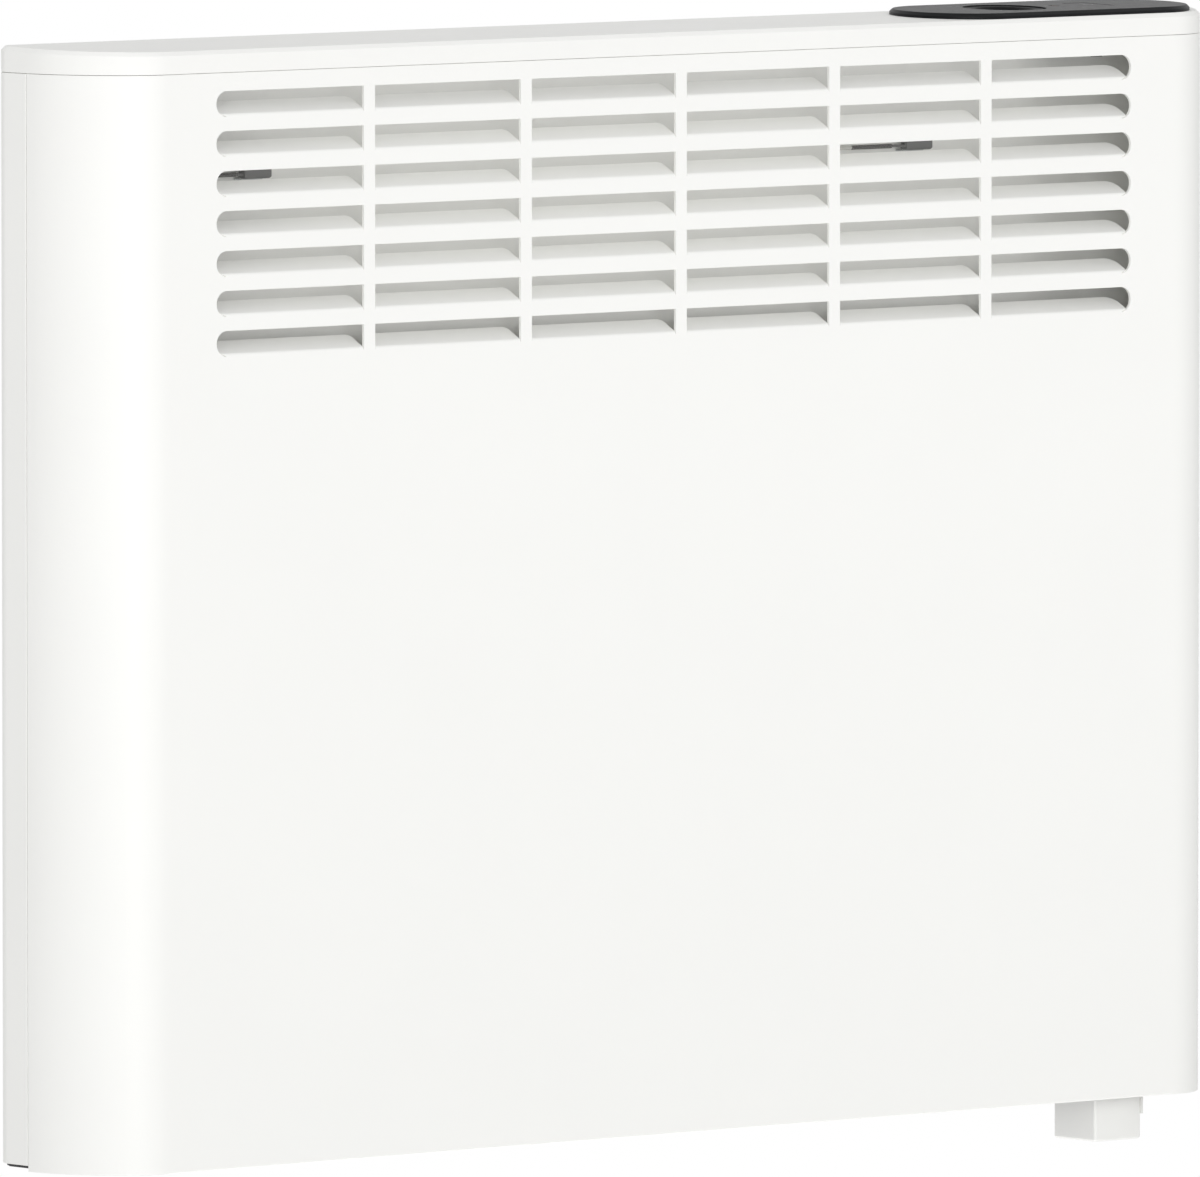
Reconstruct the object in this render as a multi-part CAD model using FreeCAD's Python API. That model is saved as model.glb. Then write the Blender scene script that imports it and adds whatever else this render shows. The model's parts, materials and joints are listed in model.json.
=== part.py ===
import FreeCAD, Part
import math
import os

# Wall-hung convector heater, millimetres. +Z is up, the front faces -Y and the wall is the plane y = 0.
# The origin is the centre of the four wall-screw holes. "Depth" below is measured inward from the front.

V = FreeCAD.Vector

# Casing
WIDTH = 610.0
HEIGHT = 450.0
DEPTH = 67.0
WALL_GAP = 16.0
CAP_HEIGHT = 10.0
SHADOW_GAP = 0.2
SHEET = 1.2
SHELL_SHEET = 1.0
CORNER_X = 36.0
CORNER_Y = 45.0
CORNER_FRONT_R = 28.0
REAR_R = 9.0
SHELL_LIP = 9.0
CLEAR = 0.4

FRONT = -(DEPTH + WALL_GAP)
BACK = -WALL_GAP
SEAM = FRONT + CORNER_Y
SIDE = WIDTH / 2
FLAT = SIDE - CORNER_X
BOTTOM = -HEIGHT / 2
COVER_TOP = HEIGHT / 2 - CAP_HEIGHT
TOP = HEIGHT / 2
INSIDE = BACK - SHELL_SHEET

# The corner blends from a tight arc at the front into a slack one at the side.
CORNER_SPAN = CORNER_X**2 + CORNER_Y**2 - 2 * CORNER_Y * CORNER_FRONT_R
CORNER_SIDE_R = CORNER_SPAN / (2 * (CORNER_X - CORNER_FRONT_R))
FRONT_ARC = (FLAT, FRONT + CORNER_FRONT_R)
SIDE_ARC = (SIDE - CORNER_SIDE_R, SEAM)
BLEND = math.degrees(math.atan2(FRONT_ARC[1] - SIDE_ARC[1], FRONT_ARC[0] - SIDE_ARC[0]))

# Louvre grille pressed into the front cover
ROWS = 7
COLUMNS = 6
ROW_PITCH = 16.0
COLUMN_PITCH = 82.25
SLOT_LENGTH = 76.45
SLOT_HEIGHT = 9.4
SLOT_END_R = 5.3
TOP_SLOT = 198.3
FLAP_LENGTH = 10.4
TIP_CHORDS = 4
FLAP_ANGLE = 62.0

# Bottom flange, inlet grille and the countersunk screws that join them
FLANGE = 14.0
GRILLE_THICK = 1.0
GRILLE_Z = BOTTOM + SHEET
INLET_PITCH = 16.0
INLET_SLOT = (11.0, 32.0)
INLET_SPAN = (-280.0, 225.0)
INLET_Y = -62.0
SCREW_X = (-230.0, -90.0, 90.0, 230.0)
SCREW_Y = FRONT + FLANGE / 2 + SHEET / 2
SCREW_R = 1.6
SCREW_HEAD_R = 3.4

# Control panel on the top cap; cap and panel slope down to the front about a line along the cap
TOP_SLOPE = 1.25
SLOPE_Y = -45.5
CAP_EDGE = 1.6
PANEL_R = 29.0
PANEL_X = (177.3, 265.4)
PANEL_Y = -51.5
PANEL_RISE = 2.4
PANEL_EDGE = 1.2
PLUG_X = (163.0, 280.0)
PLUG_HALF = 23.0
PLUG_Z = TOP - 6.0
DIAL_X = 201.8
WELL_R = 17.4
DIAL_TOP = TOP + 2.0
BOWL_R = 9.0
BOWL_Z = TOP - 1.8
SHAFT_R = 3.0
BOARD_Z = 210.4
BOARD_THICK = 1.6
BOARD_POSTS = ((171.0, -67.0), (171.0, -36.0), (231.0, -70.0), (231.0, -33.0))
BUTTON_X = 248.0
BUTTON_HALF = (5.7, 9.5)
BUTTON_Z = TOP - 3.0
BUTTON_TRAVEL = 1.8
BUTTON_GAP = 0.3
STEM_HALF = 2.5
STEM_LENGTH = 6.0
LENS_X = 229.0
PANEL_PIECES = ("control_fascia", "dial_knob", "dial_shaft", "dial_potentiometer", "control_board",
                "board_screws", "switch_body", "power_button", "indicator_lens")

# Connection box at the right end, below the grille; its wires enter at (x, y) through the top and the floor
BOX_X = (232.0, 288.0)
BOX_Y = (-48.0, INSIDE)
BOX_Z = (-45.0, 76.0)
BOX_WALL = 1.6
RETURN_ENTRY = (262.0, -32.0)
SUPPLY_ENTRY = (276.0, -32.0)
SENSOR_ENTRY = (278.0, -40.0)

# Heating element and the shield behind it, which runs on upward as the air guide behind the louvres
ELEMENT_Y = -55.0
ELEMENT_Z = -100.0
FIN_SPAN = (-235.0, 212.0)
STUB_REACH = 24.0
TUBE_R = 4.2
TUBE_SPAN = (-262.0, 238.0)
PIN_LENGTH = 10.0
BRACKET_X = (-246.0, 222.0)
SHIELD_Y = -30.6
SHIELD_X = (-228.0, 203.0)
SHIELD_Z = (-170.0, 60.0)
SHIELD_SHEET = 0.6
SHIELD_LIP = 7.0
GUIDE_Y = -57.0
GUIDE_X = (-232.0, 204.0)
GUIDE_Z = (95.0, 208.0)
GUIDE_HOOD = 19.0
GUIDE_STEP = 33.6
GUIDE_REAR_Y = -40.0
GUIDE_ENDS = (-286.0, 292.0)

# Thermal cut-outs seen through the third row of louvres
CUTOUT_LENGTH = 14.0
CUTOUT_X = (-215.3, 136.1)
CUTOUT_Y = (-66.0, -62.0)
CUTOUT_Z = (171.0, 178.0)
CUTOUT_TABS = (3.0, 6.6)
CUTOUT_FOOT = 9.0
REAR_TAB_X = 10.0
LEAD_Y = -64.0
LEAD_Z = 172.9
LEAD_R = 0.75
LEAD_BEND = 3.2
LEAD_FIT = 0.1
SLEEVE_R = 1.3
SLEEVE_LENGTH = 22.0
PASS_X = 104.0

# Room-air sensor below the right end
SENSOR_X = (243.0, 268.5)
SENSOR_Y = (-62.5, -36.4)
SENSOR_BOTTOM = BOTTOM - 19.9
SENSOR_STEP = SENSOR_BOTTOM + 10.4
SENSOR_TOP = GRILLE_Z + GRILLE_THICK + 4.0
COLLAR_LIP = (1.2, 0.6)
PROBE = (255.5, -50.0)
PROBE_TOP = SENSOR_BOTTOM + 14.0

# Wall rails, hooks and turn latches
SCREW_SPAN_X = 320.0
SCREW_SPAN_Z = 240.0
WALL_HOLE_R = 2.75
RAIL = 1.5
RAIL_HALF = 185.0
HOOK_X = (-120.0, 120.0)
HOOK_HALF = 15.0
HOOK_Z = 130.0
LATCH_X = (-140.0, 140.0)
LATCH_Z = -122.0
LATCH_SHANK_R = 3.0

# Rear entries: the cable grommet (x, z, hole radius) and the wall buffers (x, z)
GLAND = (222.0, -190.0, 7.0)
GLAND_BORE = 4.0
BUFFERS = ((-270.0, -195.0), (270.0, -195.0))
BUFFER_NECK_R = 2.95


def box(x, y, z):
    """Block from three (low, high) pairs."""
    return Part.makeBox(x[1] - x[0], y[1] - y[0], z[1] - z[0], V(x[0], y[0], z[0]))


def rod(r, start, end):
    """Cylinder between two points."""
    axis = end - start
    return Part.makeCylinder(r, axis.Length, start, axis)


def along_z(r, x, y, z):
    return rod(r, V(x, y, z[0]), V(x, y, z[1]))


def along_y(r, x, z, y):
    return rod(r, V(x, y[0], z), V(x, y[1], z))


def facets(sides, across, base, axis):
    """Regular prism on an axis, measured across its flats."""
    r = across / 2 / math.cos(math.pi / sides)
    turns = [math.radians(360 * i / sides) for i in range(sides + 1)]
    face = Part.Face(Part.makePolygon([V(r * math.cos(a), r * math.sin(a), 0) for a in turns]))
    solid = face.extrude(V(0, 0, axis.Length))
    solid.Placement = FreeCAD.Placement(base, FreeCAD.Rotation(V(0, 0, 1), axis))
    return solid


def small_turning(r, start, end):
    """Ten-sided stand-in for a small turned piece or its hole."""
    return facets(10, 2 * r, start, end - start)


def line(p, q):
    return Part.makeLine(V(*p), V(*q))


def arc(centre, r, start, end):
    """Arc in plan between two angles in degrees."""
    points = []
    for angle in (start, (start + end) / 2, end):
        a = math.radians(angle)
        points.append(V(centre[0] + r * math.cos(a), centre[1] + r * math.sin(a), 0))
    return Part.Arc(*points).toShape()


def prism(points, direction):
    """Solid swept from a closed polygon."""
    return Part.Face(Part.makePolygon([V(*p) for p in points + points[:1]])).extrude(V(*direction))


def solid_of(edges, z):
    """Solid between two heights over a closed outline in plan."""
    wire = Part.Wire(Part.__sortEdges__(edges))
    face = Part.Face(wire)
    face.translate(V(0, 0, z[0]))
    return face.extrude(V(0, 0, z[1] - z[0]))


def front_path(inset):
    """Edges of the cover's plan from the left seam round the front to the right seam."""
    edges = [line((-FLAT, FRONT + inset, 0), (FLAT, FRONT + inset, 0))]
    for side in (1, -1):
        tight = (side * FRONT_ARC[0], FRONT_ARC[1])
        slack = (side * SIDE_ARC[0], SIDE_ARC[1])
        blend = BLEND if side > 0 else -180 - BLEND
        edges.append(arc(tight, CORNER_FRONT_R - inset, -90, blend))
        edges.append(arc(slack, CORNER_SIDE_R - inset, blend, 0 if side > 0 else -180))
    return edges


def rear_path(inset, start):
    """Edges of the rear shell's plan from one side round the back to the other."""
    x = SIDE - inset
    edges = [line((-SIDE + REAR_R, BACK - inset, 0), (SIDE - REAR_R, BACK - inset, 0))]
    for side in (1, -1):
        centre = (side * (SIDE - REAR_R), BACK - REAR_R)
        edges.append(line((side * x, start, 0), (side * x, BACK - REAR_R, 0)))
        edges.append(arc(centre, REAR_R - inset, 0 if side > 0 else 180, 90))
    return edges


def plan_solid(inset, z):
    return solid_of(front_path(inset) + rear_path(inset, SEAM), z)


def sheet_solid(path, start, thick, z):
    """Bent sheet of even thickness that follows an open path."""
    ends = []
    for side in (1, -1):
        ends.append(line((side * SIDE, start, 0), (side * (SIDE - thick), start, 0)))
    return solid_of(path(0) + path(thick) + ends, z)


def tongue(x, z, depth, height, round_end):
    """Lanced outline as a plate; its outer end, on the first and last column, is an arc."""
    if round_end == 0:
        return box(x, depth, (z, z + height))
    tip = x[1] if round_end > 0 else x[0]
    square = x[0] if round_end > 0 else x[1]
    centre = tip - round_end * SLOT_END_R
    middle = z + height - SLOT_END_R
    half = box(sorted((centre, tip + round_end)), depth, (middle - SLOT_END_R, middle + SLOT_END_R))
    end = along_y(SLOT_END_R, centre, middle, depth).common(half)
    return box(sorted((square, centre)), depth, (z, z + height)).fuse(end)


def flap_corner(x, tip, side, round_end):
    """Upper corner of a flap: square, or rounded in short chords at the ends of the grille."""
    if side != round_end:
        return [(x, tip)]
    turns = [math.radians(90 * i / TIP_CHORDS) for i in range(TIP_CHORDS + 1)][::side]
    return [(x - side * SLOT_END_R * (1 - math.cos(a)), tip - SLOT_END_R * (1 - math.sin(a))) for a in turns]


def louvre(x, z, round_end):
    """One lanced louvre: the opening in the sheet, and the flap bent inward along its lower edge."""
    opening = tongue(x, z, (FRONT - 1, FRONT + SHEET + 1), SLOT_HEIGHT, round_end)
    tip = z + FLAP_LENGTH
    corners = flap_corner(x[1], tip, 1, round_end) + flap_corner(x[0], tip, -1, round_end)
    outline = [V(a, FRONT, b) for a, b in [(x[0], z), (x[1], z), *corners, (x[0], z)]]
    flap = Part.Face(Part.makePolygon(outline)).extrude(V(0, SHEET, 0))
    flap.rotate(V(0, FRONT, z), V(1, 0, 0), -FLAP_ANGLE)
    return opening, flap


def front_cover():
    """Pressed sheet cover: front, both wrapped corners, bottom flange and the louvre grille."""
    cover = sheet_solid(front_path, SEAM, SHEET, (BOTTOM, COVER_TOP))
    flange = box((-FLAT, FLAT), (FRONT + SHEET / 2, FRONT + FLANGE), (BOTTOM, BOTTOM + SHEET))
    openings = [countersink(x, 0.05) for x in SCREW_X]
    flaps = []
    for column in range(COLUMNS):
        middle = (column - (COLUMNS - 1) / 2) * COLUMN_PITCH
        x = (middle - SLOT_LENGTH / 2, middle + SLOT_LENGTH / 2)
        round_end = {0: -1, COLUMNS - 1: 1}.get(column, 0)
        for row in range(ROWS):
            opening, flap = louvre(x, TOP_SLOT - row * ROW_PITCH, round_end)
            openings.append(opening)
            flaps.append(flap)
    return cover.fuse(flange).cut(openings).fuse(flaps).removeSplitter()


def countersink(x, grow):
    """Countersunk head in the bottom flange."""
    rings = []
    for r, z in ((SCREW_HEAD_R + grow, BOTTOM), (SCREW_R + grow, BOTTOM + SCREW_HEAD_R - SCREW_R)):
        ring = small_turning(r, V(x, SCREW_Y, z), V(x, SCREW_Y, z + 1))
        rings.append(min(ring.Faces, key=lambda face: face.CenterOfMass.z).OuterWire)
    return Part.makeLoft(rings, True, True)


def cover_screws():
    """Four countersunk screws, flush under the flange, up into the bosses of the inlet grille."""
    screws = []
    for x in SCREW_X:
        shank = small_turning(SCREW_R, V(x, SCREW_Y, BOTTOM + 1), V(x, SCREW_Y, BOTTOM + 9))
        screws.append(countersink(x, 0).fuse(shank))
    return Part.makeCompound(screws)


def rear_shell():
    """Rear pan with rounded edges, side lips inside the cover, hook slots and latch slots."""
    z = (GRILLE_Z + GRILLE_THICK, COVER_TOP)
    start = SEAM + 0.6

    def path(inset):
        return rear_path(inset, start)

    shell = sheet_solid(path, start, SHELL_SHEET, z)
    lip_x = SIDE - SHEET - 2.4
    lip_z = (z[0], COVER_TOP - CAP_HEIGHT)
    for side in (1, -1):
        edge, inner = side * (SIDE - 0.2), side * (lip_x - SHELL_SHEET)
        web = box(sorted((side * lip_x, edge)), (start, start + SHELL_SHEET), lip_z)
        lip = box(sorted((inner, side * lip_x)), (SEAM - SHELL_LIP, start + SHELL_SHEET), lip_z)
        shell = shell.fuse([web, lip])
    wall = (BACK - 2 * SHELL_SHEET, BACK + 1)
    holes = []
    for x in HOOK_X:
        holes.append(box((x - HOOK_HALF - 1, x + HOOK_HALF + 1), wall, (HOOK_Z - 13, HOOK_Z + RAIL + 0.1)))
    for x in LATCH_X:
        holes.append(box((x - 13.5, x + 13.5), wall, (LATCH_Z - 4.8, LATCH_Z + 4.8)))
    round_holes = [GLAND] + [(x, height, BUFFER_NECK_R + 0.05) for x, height in BUFFERS]
    for x, height, r in round_holes:
        holes.append(small_turning(r, V(x, wall[0], height), V(x, wall[1], height)))
    return shell.removeSplitter().cut(holes)


def panel_outline(r, z):
    """Stadium of the control panel."""
    edges = [
        line((PANEL_X[0], PANEL_Y - r, 0), (PANEL_X[1], PANEL_Y - r, 0)),
        arc((PANEL_X[1], PANEL_Y), r, -90, 90),
        line((PANEL_X[1], PANEL_Y + r, 0), (PANEL_X[0], PANEL_Y + r, 0)),
        arc((PANEL_X[0], PANEL_Y), r, 90, 270),
    ]
    return solid_of(edges, z)


def sloped(shape):
    """Turns a piece of the control panel to the slope of the cap."""
    shape.rotate(V(0, SLOPE_Y, TOP), V(1, 0, 0), TOP_SLOPE)
    return shape


def edges_at(shape, z):
    """Outer edges that lie at one height."""
    return [e for e in shape.Edges if abs(e.BoundBox.ZMin - z) < 1e-6 and abs(e.BoundBox.ZMax - z) < 1e-6]


def upright_edges(shape):
    """Vertical edges of a block."""
    return [e for e in shape.Edges if e.BoundBox.ZLength > 1]


def top_cap():
    """Top moulding: skirt flush with the casing, sloping top with a broken edge, hollow, four lips inside."""
    base = COVER_TOP + SHADOW_GAP
    above = sloped(box((-2 * SIDE, 2 * SIDE), (2 * FRONT, DEPTH), (TOP, TOP + CAP_HEIGHT)))
    outer = plan_solid(0, (base, TOP + CAP_HEIGHT / 2)).cut(above)
    outer = outer.makeChamfer(CAP_EDGE, [e for e in outer.Edges if e.BoundBox.ZMin > TOP - 2])
    wall = 3.2
    z = (base - 1, TOP - 3.5)
    hollows = [
        box((-FLAT, FLAT), (FRONT + wall, BACK - wall), z),
        box((-SIDE + wall, SIDE - wall), (SEAM, BACK - REAR_R), z),
    ]
    lip_z = (COVER_TOP - 6, TOP - 3)
    inset = SHEET + CLEAR
    lips = [
        box((-FLAT, FLAT), (FRONT + inset, FRONT + wall + 0.4), lip_z),
        box((REAR_R - SIDE, SIDE - REAR_R), (BACK - wall - 0.4, BACK - inset), lip_z),
    ]
    for side in (1, -1):
        span = sorted((side * (SIDE - inset), side * (SIDE - wall - 0.4)))
        lips.append(box(span, (SEAM, BACK - REAR_R), lip_z))
    opening = box((PLUG_X[0] - 0.3, PLUG_X[1] + 0.3), (PANEL_Y - PLUG_HALF - 0.3, PANEL_Y + PLUG_HALF + 0.3),
                  (base, TOP + 2))
    return outer.cut(hollows).fuse(lips).cut(sloped(opening)).removeSplitter()


def bottom_grille():
    """Inlet grille: a tray with rows of slots, bosses for the cover screws and the sensor's opening."""
    z = (GRILLE_Z, GRILLE_Z + GRILLE_THICK)
    tray = plan_solid(SHEET + CLEAR, z)
    rear = box((-SIDE + 0.5, SIDE - 0.5), (SEAM + 0.6, BACK - REAR_R), z)
    tray = tray.fuse(rear).removeSplitter()
    bosses = [box((x - 4, x + 4), (SCREW_Y - 4, SCREW_Y + 4), (z[0], z[1] + 8)) for x in SCREW_X]
    cuts = [countersink(x, 0.1) for x in SCREW_X]
    cuts += [small_turning(SCREW_R + 0.1, V(x, SCREW_Y, z[0] - 1), V(x, SCREW_Y, z[1] + 9)) for x in SCREW_X]
    width, length = INLET_SLOT
    count = int((INLET_SPAN[1] - INLET_SPAN[0]) / INLET_PITCH)
    for i in range(count):
        x = INLET_SPAN[0] + i * INLET_PITCH
        cuts.append(box((x, x + width), (INLET_Y, INLET_Y + length), (z[0] - 1, z[1] + 1)))
    cuts.append(box((SENSOR_X[0] - 0.2, SENSOR_X[1] + 0.2), (SENSOR_Y[0] - 0.2, SENSOR_Y[1] + 0.2),
                    (z[0] - 1, z[1] + 1)))
    return tray.fuse(bosses).cut(cuts)


def control_fascia():
    """Panel moulding: plate with a broken edge, plug-in frame, dial well, board posts and two openings."""
    top = TOP + PANEL_RISE
    plate = panel_outline(PANEL_R, (TOP, top))
    plate = plate.makeChamfer(PANEL_EDGE, edges_at(plate, top))
    z = (PLUG_Z, TOP)
    width = (PANEL_Y - PLUG_HALF, PANEL_Y + PLUG_HALF)
    frame = box(PLUG_X, width, z).cut(box((PLUG_X[0] + 2, PLUG_X[1] - 2), (width[0] + 2, width[1] - 2), z))
    well = along_z(WELL_R + 1.5, DIAL_X, PANEL_Y, z)
    posts = [box((x - 2, x + 2), (y - 2, y + 2), (BOARD_Z + BOARD_THICK, TOP)) for x, y in BOARD_POSTS]
    cuts = [
        along_z(WELL_R, DIAL_X, PANEL_Y, (PLUG_Z + 1.5, top + 1)),
        along_z(SHAFT_R + 0.5, DIAL_X, PANEL_Y, (PLUG_Z - 1, top)),
        button_block(BUTTON_GAP, (TOP - 1, top + 1)),
        lamp_bar(0.05, (TOP - 1, top + 1)),
    ]
    return plate.fuse([frame, well] + posts).removeSplitter().cut(cuts)


def dial_knob():
    """Sunk dial, turned from a profile: a dished rim, a round finger bowl and a pointer groove."""
    r = WELL_R - CLEAR
    low = PLUG_Z + 2.0
    socket = (SHAFT_R + 0.02, BOWL_Z - 0.8)
    profile = [
        V(0, 0, socket[1]), V(socket[0], 0, socket[1]), V(socket[0], 0, low), V(r, 0, low), V(r, 0, DIAL_TOP),
        V(BOWL_R, 0, DIAL_TOP - 1.2), V(BOWL_R, 0, BOWL_Z), V(0, 0, BOWL_Z),
    ]
    knob = Part.Face(Part.makePolygon(profile + profile[:1])).revolve(V(0, 0, 0), V(0, 0, 1), 360)
    pointer = box((-0.5, 0.5), (-r + 1.5, -BOWL_R + 1), (DIAL_TOP - 1.6, DIAL_TOP + 1))
    knob = knob.cut(pointer)
    knob.translate(V(DIAL_X, PANEL_Y, 0))
    return knob


def dial_shaft():
    """Shaft from the potentiometer up into the knob, with a flat for the wiper."""
    low = BOARD_Z + BOARD_THICK + 1
    shaft = along_z(SHAFT_R, DIAL_X, PANEL_Y, (low, BOWL_Z - 0.9))
    flat = box((DIAL_X + 2, DIAL_X + 4), (PANEL_Y - 4, PANEL_Y + 4), (low, low + 3))
    return shaft.cut(flat)


def dial_potentiometer():
    """Rotary potentiometer: square can on the board with a bearing collar."""
    low = BOARD_Z + BOARD_THICK
    can = box((DIAL_X - 8, DIAL_X + 8), (PANEL_Y - 8, PANEL_Y + 8), (low, low + 6))
    collar = small_turning(4.5, V(DIAL_X, PANEL_Y, low), V(DIAL_X, PANEL_Y, PLUG_Z - CLEAR))
    legs = box((DIAL_X - 5, DIAL_X + 5), (PANEL_Y + 6, PANEL_Y + 10), (low, low + 1.2))
    bore = along_z(SHAFT_R + 0.06, DIAL_X, PANEL_Y, (low + 0.6, TOP))
    return can.fuse([collar, legs]).removeSplitter().cut(bore)


def control_board():
    """Circuit board hung from the panel's posts."""
    board = box((167.0, 235.0), (-75.0, -28.0), (BOARD_Z, BOARD_Z + BOARD_THICK))
    holes = [facets(6, 2.6, V(x, y, BOARD_Z - 1), V(0, 0, 4)) for x, y in BOARD_POSTS[::3]]
    return board.cut(holes)


def board_screws():
    """Hexagon screws at two opposite corners of the board; the other posts only support it."""
    screws = []
    for x, y in BOARD_POSTS[::3]:
        head = facets(6, 4.0, V(x, y, BOARD_Z - 1.6), V(0, 0, 1.6))
        screws.append(head.fuse(facets(6, 2.4, V(x, y, BOARD_Z), V(0, 0, BOARD_THICK))))
    return Part.makeCompound(screws)


def button_block(grow, z):
    """Oblong of the power button, or its opening."""
    half_x, half_y = BUTTON_HALF
    return box((BUTTON_X - half_x - grow, BUTTON_X + half_x + grow),
               (PANEL_Y - half_y - grow, PANEL_Y + half_y + grow), z)


def button_stem(grow, z):
    """Square stem under the button, or its guide in the switch."""
    half = STEM_HALF + grow
    return box((BUTTON_X - half, BUTTON_X + half), (PANEL_Y - half, PANEL_Y + half), z)


def switch_body():
    """Switch housing under the panel: a well for the button, a guide for its stem and two blades."""
    low = TOP - 13
    floor = BUTTON_Z - BUTTON_TRAVEL - 2 * BUTTON_GAP
    body = button_block(1.5, (low, TOP))
    well = button_block(BUTTON_GAP, (floor, TOP + 1))
    guide = button_stem(BUTTON_GAP, (BUTTON_Z - STEM_LENGTH - BUTTON_TRAVEL - BUTTON_GAP, TOP))
    width = (BUTTON_X - 3.2, BUTTON_X + 3.2)
    blades = [box(width, (PANEL_Y + y, PANEL_Y + y + 0.8), (low - 6, low)) for y in (-6, 5)]
    return body.fuse(blades).cut([well, guide])


def power_button():
    """Push button level with the panel, with a stem down into the switch."""
    top = TOP + PANEL_RISE - 0.05
    cap = button_block(0, (BUTTON_Z, top))
    cap = cap.makeChamfer(0.4, edges_at(cap, top))
    return cap.fuse(button_stem(0, (BUTTON_Z - STEM_LENGTH, BUTTON_Z))).removeSplitter()


def lamp_bar(grow, z):
    """Bar-shaped light pipe, or its opening in the panel."""
    return box((LENS_X - 0.9 - grow, LENS_X + 0.9 + grow), (PANEL_Y - 3 - grow, PANEL_Y + 3 + grow), z)


def indicator_lens():
    """Pilot lamp: light pipe through the panel, with a foot under it."""
    return lamp_bar(0, (TOP - 4, TOP + PANEL_RISE - 0.1)).fuse(lamp_bar(1, (TOP - 4, TOP))).removeSplitter()


def wire_pass(place, z):
    """Square opening for one upright wire."""
    half = LEAD_R + 0.4
    return box((place[0] - half, place[0] + half), (place[1] - half, place[1] + half), z)


def control_box():
    """Connection box on the rear shell, open to the front, with wire entries in its top and its floor."""
    outer = box(BOX_X, BOX_Y, BOX_Z)
    w = BOX_WALL
    inner = box((BOX_X[0] + w, BOX_X[1] - w), (BOX_Y[0] - 1, BOX_Y[1] - w), (BOX_Z[0] + w, BOX_Z[1] - w))
    entries = [wire_pass(place, (BOX_Z[1] - 5, BOX_Z[1] + 1)) for place in (RETURN_ENTRY, SUPPLY_ENTRY)]
    entries.append(wire_pass(SENSOR_ENTRY, (BOX_Z[0] - 1, BOX_Z[0] + 5)))
    return outer.cut([inner] + entries)


def control_box_lid():
    lid = box(BOX_X, (BOX_Y[0] - BOX_WALL, BOX_Y[0]), BOX_Z)
    w = BOX_WALL + 0.2
    rib = box((BOX_X[0] + w, BOX_X[1] - w), (BOX_Y[0], BOX_Y[0] + 2), (BOX_Z[0] + w, BOX_Z[1] - w))
    core = box((BOX_X[0] + 4, BOX_X[1] - 4), (BOX_Y[0], BOX_Y[0] + 3), (BOX_Z[0] + 4, BOX_Z[1] - 4))
    edges = [e for e in lid.Edges if abs(e.BoundBox.YMax - lid.BoundBox.YMin) < 1e-6]
    return lid.makeChamfer(0.8, edges).fuse(rib.cut(core)).removeSplitter()


def terminal_block():
    """Three-pole terminal strip on the floor of the connection box."""
    floor = BOX_Z[0] + BOX_WALL
    back = BOX_Y[1] - BOX_WALL
    block = box((240.0, 276.0), (back - 18, back), (floor + 10, floor + 26))
    cuts = []
    for i in range(3):
        x = 246.0 + 12 * i
        cuts.append(facets(6, 4.8, V(x, back - 20, floor + 18), V(0, 12, 0)))
        cuts.append(box((x - 2, x + 2), (back - 8, back - 4), (floor + 8, floor + 28)))
    return block.cut(cuts)


def power_relay():
    """Relay that switches the element."""
    back = BOX_Y[1] - BOX_WALL
    relay = box((243.0, 272.0), (back - 16, back), (BOX_Z[0] + 55, BOX_Z[0] + 80))
    edges = [e for e in relay.Edges if abs(e.BoundBox.YMax - relay.BoundBox.YMin) < 1e-6]
    return relay.makeFillet(1.0, edges)


def heating_tube():
    """Sheathed heating rod with a terminal pin at each end."""
    ends = [V(x, ELEMENT_Y, ELEMENT_Z) for x in TUBE_SPAN]
    pins = [facets(6, 3.0, ends[0] - V(PIN_LENGTH, 0, 0), V(PIN_LENGTH, 0, 0)),
            facets(6, 3.0, ends[1], V(PIN_LENGTH, 0, 0))]
    return rod(TUBE_R, *ends).fuse(pins)


def element_fins():
    """Aluminium radiating profile: a hub on the rod with four tapered wings in an X and stub fins."""
    x = FIN_SPAN[0]
    sweep = (FIN_SPAN[1] - FIN_SPAN[0], 0, 0)
    bodies = []
    for angle in (60, 120, 240, 300):
        a = math.radians(angle)
        radial = V(0, math.cos(a), math.sin(a))
        across = V(0, -math.sin(a), math.cos(a))
        bodies.append(wing(x, sweep, radial, across, 5.0, 34.0, 1.6, 0.7))
        for side in (1, -1):
            bodies.append(wing(x, sweep, across * side, radial, 0.2, 6.0, 0.8, 0.4, radial * STUB_REACH))
    start = V(FIN_SPAN[0], ELEMENT_Y, ELEMENT_Z)
    end = V(FIN_SPAN[1], ELEMENT_Y, ELEMENT_Z)
    hub = rod(8.0, start, end)
    return hub.fuse(bodies).removeSplitter().cut(rod(TUBE_R + 0.05, start, end))


def wing(x, sweep, out, across, start, end, thick_in, thick_out, root=None):
    """Tapered plate along the element; half thicknesses at its foot and its tip."""
    centre = V(x, ELEMENT_Y, ELEMENT_Z) + (root if root else V(0, 0, 0))
    corners = []
    for reach, half in ((start, thick_in), (end, thick_out), (end, -thick_out), (start, -thick_in)):
        p = centre + out * reach + across * half
        corners.append((p.x, p.y, p.z))
    return prism(corners, sweep)


def element_bush(x, inward):
    """Ceramic bush that seats in a bracket, with a flange on the inner side."""
    start = V(x - inward * 5, ELEMENT_Y, ELEMENT_Z)
    end = V(x + inward * 0.55, ELEMENT_Y, ELEMENT_Z)
    flange = small_turning(10.0, end, end + V(inward * 3, 0, 0))
    bore = small_turning(TUBE_R + 0.05, start - V(inward, 0, 0), end + V(inward * 4, 0, 0))
    return small_turning(7.4, start, end).fuse(flange).cut(bore).removeSplitter()


def element_bushes():
    return Part.makeCompound([element_bush(BRACKET_X[0], 1), element_bush(BRACKET_X[1], -1)])


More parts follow.
